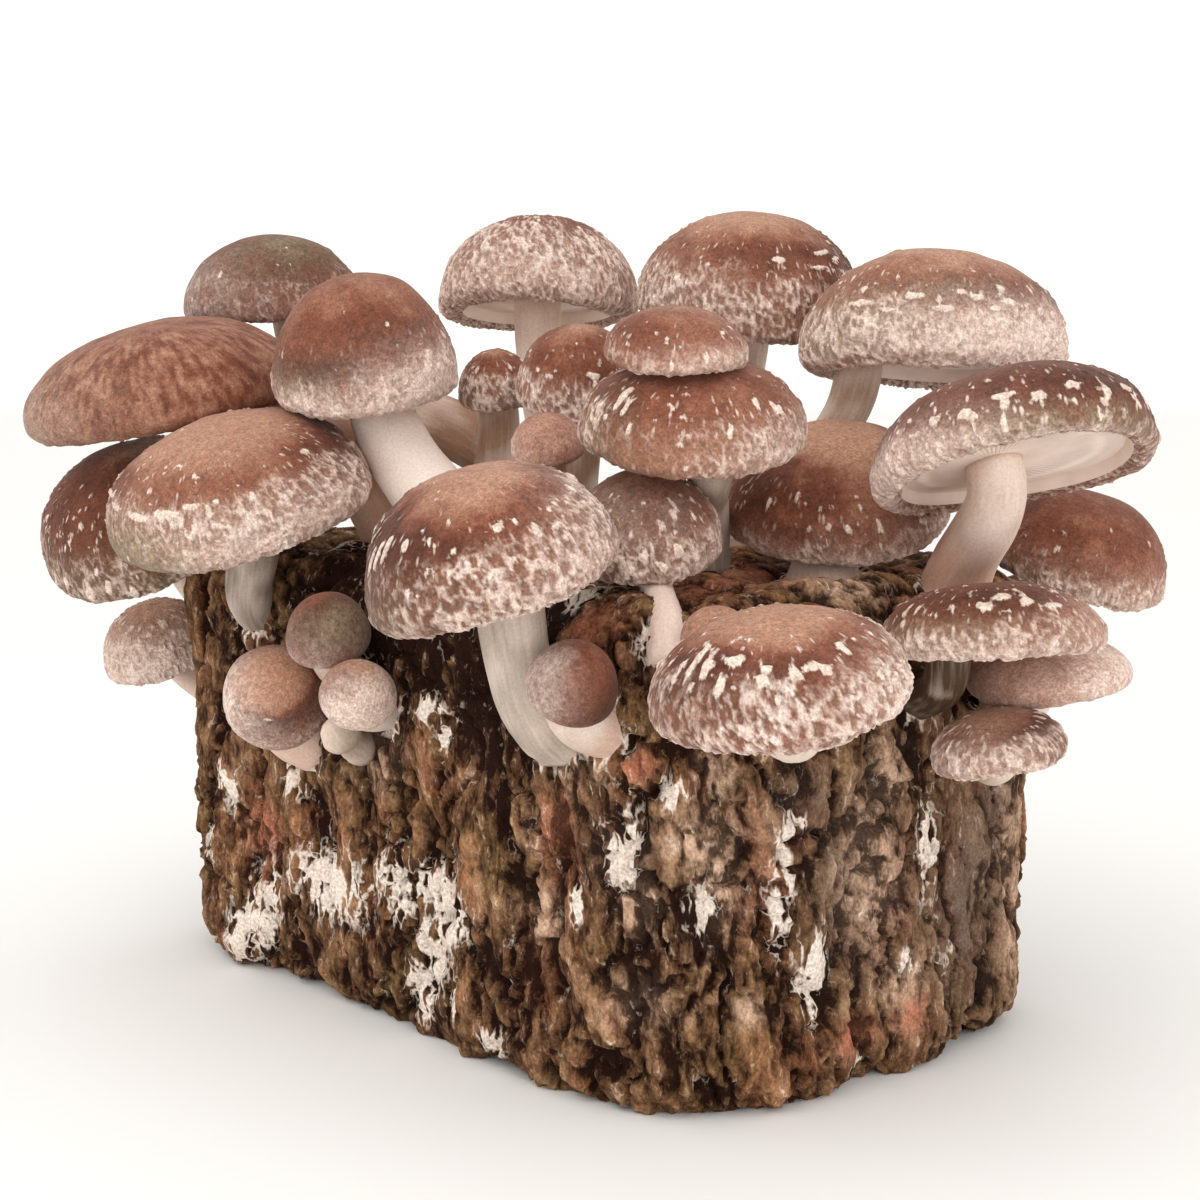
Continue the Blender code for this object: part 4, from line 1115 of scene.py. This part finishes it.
def block_box():
    """The plain box, cut into small cells on every side."""
    shape = bmesh.new()
    bmesh.ops.create_cube(shape, size=1)
    bmesh.ops.translate(shape, vec=(0, 0, 0.5), verts=shape.verts)
    bmesh.ops.scale(shape, vec=BLOCK_SIZE, verts=shape.verts)
    for axis, cells in enumerate(BLOCK_CELLS):
        lengthwise = [
            edge for edge in shape.edges
            if abs(edge.verts[0].co[axis] - edge.verts[1].co[axis]) > BLOCK_SIZE[axis] * 0.9
        ]
        bmesh.ops.subdivide_edges(shape, edges=lengthwise, cuts=cells - 1, use_grid_fill=True)
    bmesh.ops.recalc_face_normals(shape, faces=shape.faces)
    return finished(shape, "block")


def block_marks(places, bend, crease, chip):
    """How much cream fungus, grey, red and tan each point of the block shows."""
    marks = {}
    for kind, patches in PATCHES.items():
        marks[kind] = np.zeros(len(places))
        for *middle, wide, tall in patches:
            off = places - np.array(middle)
            apart = (np.hypot(off[:, 0], off[:, 1]) / wide) ** 2 + (off[:, 2] / tall) ** 2
            marks[kind] = np.maximum(marks[kind], np.exp(-0.8 * apart) * 1.25)

    # Fungus in laces in its patches, in loose veins and chips elsewhere, and round every foot
    fray = 0.55 * sampled(stretched(places, 0.6), 4.5, crumbs)
    lace = 1 - ramp(np.abs(sampled(stretched(places + bend, 0.6) + 5, LACE_WIDTH, crumbs)), 0.05, 0.55)
    veins = 1 - ramp(np.abs(sampled(stretched(places + bend, 0.5) + 5, VEIN_WIDTH, crumbs)), 0.0, 0.1)
    loose = ramp(sampled(places + 17, 12.0, crumbs), 0.1, 0.7)
    cream = np.clip(marks["cream"] * (0.45 + 0.8 * lace + 0.5 * fray), 0, 1.2)
    cream += 0.28 * veins * loose + 0.12 * ramp(chip, 0.5, 1.0)
    for mushroom in MUSHROOMS:
        foot = np.array(from_corner_view(*mushroom.foot))
        apart = np.linalg.norm(places - foot, axis=1) - mushroom.stem[0] / 2
        near = 0.45 * (1 - ramp(apart, 0.3, 4.0)) * (0.35 + 0.7 * lace + 0.4 * fray)
        cream = np.maximum(cream, near)
    growth = marks["tan"] * (1.1 - 0.7 * ramp(crease, 0.2, 0.8)) + 0.25 * ramp(chip, 0.3, 0.9)
    return {**marks, "cream": cream, "tan": np.clip(growth, 0, 1)}


def painted_crop_shade(places):
    """How much painted shade of the crop each point takes: the front of the block's top, left of its middle.
    """
    across = places[:, 0] * math.cos(CORNER_VIEW) + places[:, 1] * math.sin(CORNER_VIEW)
    away = places[:, 1] * math.cos(CORNER_VIEW) - places[:, 0] * math.sin(CORNER_VIEW)
    shade = ramp(places[:, 2] + 14 * sampled(places + 3, 25.0), 62, 92)
    shade = shade * ramp(across, -75, -50) * (1 - ramp(across, -18, 12))
    return shade * (1 - ramp(away, -5, 25))


def make_block(settings, finish):
    """The block: the solid's lumps, with upright cracks, creases, chips and fungus over them."""
    mesh = block_box()
    places = round_corners(points_of(mesh))
    move_points(mesh, places)
    out = points_of(mesh, "normal")
    on_base = places[:, 2] < 0.1
    out[on_base, 2] = 0
    weight = np.where(on_base, 0.4, 1.0)
    swell = sampled(stretched(places, 1 / LUMP_STRETCH), LUMP_WIDTH, lump)
    places = places + out * (swell * LUMP_DEPTH * weight)[:, None]
    move_points(mesh, places)

    # Upright bark plates with cracks between them, creases and wrinkles that flow down them, chips and
    # crumbs
    bend = swayed(places, WAVE_WIDTH, (10.0, 60.0, 110.0)) * WAVE_DEPTH
    flow = stretched(places + bend, 0.2)
    plate = sampled(flow, PLATE_WIDTH, cell_edge)
    crack = 1 - ramp(plate, 0.0, 0.11)
    fold = np.abs(sampled(stretched(flow, 1.6) + 33, CREASE_WIDTH))
    wrinkle = np.abs(sampled(stretched(places + 0.8 * bend, 0.38) + 71, WRINKLE_WIDTH))
    crease = 1 - ramp(fold, 0.0, 0.16) + 0.6 * (1 - ramp(wrinkle, 0.0, 0.14))
    rough = ramp(sampled(places + 55, 32.0), -0.25, 0.35)
    chip = sampled(stretched(places + 0.6 * bend, 0.38), CHIP_WIDTH, crumbs)
    crumb = sampled(stretched(places, 0.55) + 71, CRUMB_WIDTH, crumbs)
    relief = -settings.column / MM * crack + 1.3 * ramp(plate, 0.0, 0.6)
    relief = relief - settings.crease / MM * crease * (0.55 + 0.45 * rough) + 0.8
    relief = relief + settings.chip / MM * (chip + 0.35 * crumb)

    # Flatter on the top, with the fungus standing out, and a bitten edge round the base
    marks = block_marks(places, bend, crease, chip)
    top = ramp(places[:, 2], BLOCK_SIZE.z - 9, BLOCK_SIZE.z)
    relief = relief * (1 - 0.45 * top) + 0.45 * np.clip(marks["cream"], 0, 1)
    relief = np.clip(relief, DEEPEST, HIGHEST)
    ragged = 1 - ramp(places[:, 2], 0.5, 9.0)
    bite = 1.6 * np.clip(sampled(stretched(places, 0.3) + 9, 7.0, crumbs), -1, 0.3)
    relief = np.where(on_base, np.minimum(0, relief * 0.3 + bite), relief + bite * ragged)
    places = places + out * relief[:, None]
    places[:, 2] = np.maximum(places[:, 2], 0)
    half = np.array(BLOCK_SIZE[:2]) / 2
    inner = on_base & (np.abs(places[:, :2]) < half - 14).all(1)
    places[inner, 2] = 0.5 * np.clip(chip[inner], 0, 1)
    move_points(mesh, places)

    # The level that picks the crust's colour: low in cracks and creases and high on crests, which paints
    # shade and light over the crust's own tones, less the painted shade of the crop
    level = 0.5 - 0.6 * crack - 0.42 * crease + 0.15 * ramp(plate, 0.1, 0.6) + 0.4 * chip + 0.25 * crumb
    kept(mesh, "relief", level - 0.65 * painted_crop_shade(places))
    for name, values in marks.items():
        kept(mesh, name, values)
    mesh.transform(Matrix.Scale(MM, 4))
    return add_piece("block_crust", mesh, "block", "block_skin", finish, within=5)


# The stage

def make_floor(scene, settings):
    """A round floor under the block."""
    shape = bmesh.new()
    bmesh.ops.create_circle(shape, cap_ends=True, segments=96, radius=FLOOR_RADIUS)
    mesh = finished(shape, "floor")
    mesh.materials.append(floor_material(settings))
    floor = bpy.data.objects.new("floor", mesh)
    scene.collection.objects.link(floor)


def light_stage(scene, settings):
    """Even light from all round, and soft lamps turned to the block's upper part."""
    sky = bpy.data.worlds.new("studio_sky")
    sky.use_nodes = True
    background = sky.node_tree.nodes["Background"]
    set_inputs(sky.node_tree, background, {"Color": SKY_COLOUR, "Strength": settings.sky})
    scene.world = sky
    scene.view_settings.view_transform = "Standard"
    target = Vector((0, 0, BLOCK_SIZE.z - 5)) * MM
    for name, size, place in LAMPS:
        light = bpy.data.lights.new(name, "AREA")
        light.energy, light.size = getattr(settings, name), size
        lamp = bpy.data.objects.new(name, light)
        lamp.location = from_corner_view(*place) * MM
        lamp.rotation_euler = (target - lamp.location).to_track_quat("-Z", "Y").to_euler()
        scene.collection.objects.link(lamp)


def place_camera(scene):
    """The camera, at the photograph's place and angle."""
    lens = bpy.data.cameras.new("camera")
    lens.lens, lens.sensor_width, lens.clip_start = LENS_LENGTH, SENSOR_WIDTH, 0.01
    camera = bpy.data.objects.new("camera", lens)
    camera.location = from_corner_view(*CAMERA_PLACE) * MM
    camera.rotation_euler = (math.pi / 2 - CAMERA_PITCH, 0, CORNER_VIEW)
    scene.collection.objects.link(camera)
    scene.camera = camera


# Operators and panel

class GROWBLOCK_OT_block(bpy.types.Operator):
    """Make the browned sawdust block"""

    bl_idname = "growblock.block"
    bl_label = "Make the block"

    def execute(self, context):
        settings = context.scene.growblock_block
        make_block(settings, block_material(settings))
        return {"FINISHED"}


class GROWBLOCK_OT_caps(bpy.types.Operator):
    """Make every cap with its gills"""

    bl_idname = "growblock.caps"
    bl_label = "Make the caps"

    def execute(self, context):
        settings = context.scene.growblock_caps
        finishes = (cap_skin_material(settings), gill_material(settings))
        for number, mushroom in enumerate(MUSHROOMS):
            make_cap(number, mushroom, settings, finishes)
        return {"FINISHED"}


class GROWBLOCK_OT_stems(bpy.types.Operator):
    """Make every stem and the young knob"""

    bl_idname = "growblock.stems"
    bl_label = "Make the stems"

    def execute(self, context):
        settings = context.scene.growblock_stems
        finish = stem_material(settings)
        for number, mushroom in enumerate(MUSHROOMS):
            make_stem(number, mushroom, settings, finish)
        for knob in KNOBS:
            make_knob(knob, finish)
        return {"FINISHED"}


class GROWBLOCK_OT_stage(bpy.types.Operator):
    """Make the floor, the light and the camera"""

    bl_idname = "growblock.stage"
    bl_label = "Make the stage"

    def execute(self, context):
        settings = context.scene.growblock_stage
        make_floor(context.scene, settings)
        light_stage(context.scene, settings)
        place_camera(context.scene)
        return {"FINISHED"}


class GROWBLOCK_PT_panel(bpy.types.Panel):
    """Lists the pieces of the grow block"""

    bl_idname = "GROWBLOCK_PT_panel"
    bl_label = "Grow block"
    bl_space_type = "VIEW_3D"
    bl_region_type = "UI"
    bl_category = "Grow block"

    def draw(self, context):
        for name in GROUPS:
            box = self.layout.box()
            box.operator(name.replace("_", "."))
            group = getattr(context.scene, name)
            for setting in group.__annotations__:
                box.prop(group, setting)


GROUPS = {
    "growblock_block": BlockSettings, "growblock_caps": CapSettings,
    "growblock_stems": StemSettings, "growblock_stage": StageSettings,
}
CLASSES = (
    *GROUPS.values(), GROWBLOCK_OT_block, GROWBLOCK_OT_caps, GROWBLOCK_OT_stems, GROWBLOCK_OT_stage,
    GROWBLOCK_PT_panel,
)


def register():
    """Registers the classes, and keeps each group of settings on the scene."""
    for cls in CLASSES:
        bpy.utils.register_class(cls)
    for name, group in GROUPS.items():
        setattr(bpy.types.Scene, name, PointerProperty(type=group))


def unregister():
    """Takes away what register added."""
    for name in GROUPS:
        delattr(bpy.types.Scene, name)
    for cls in reversed(CLASSES):
        bpy.utils.unregister_class(cls)


def main():
    """Makes every piece and the stage."""
    register()
    bpy.ops.growblock.block()
    bpy.ops.growblock.caps()
    bpy.ops.growblock.stems()
    bpy.ops.growblock.stage()


if __name__ == "__main__":
    main()
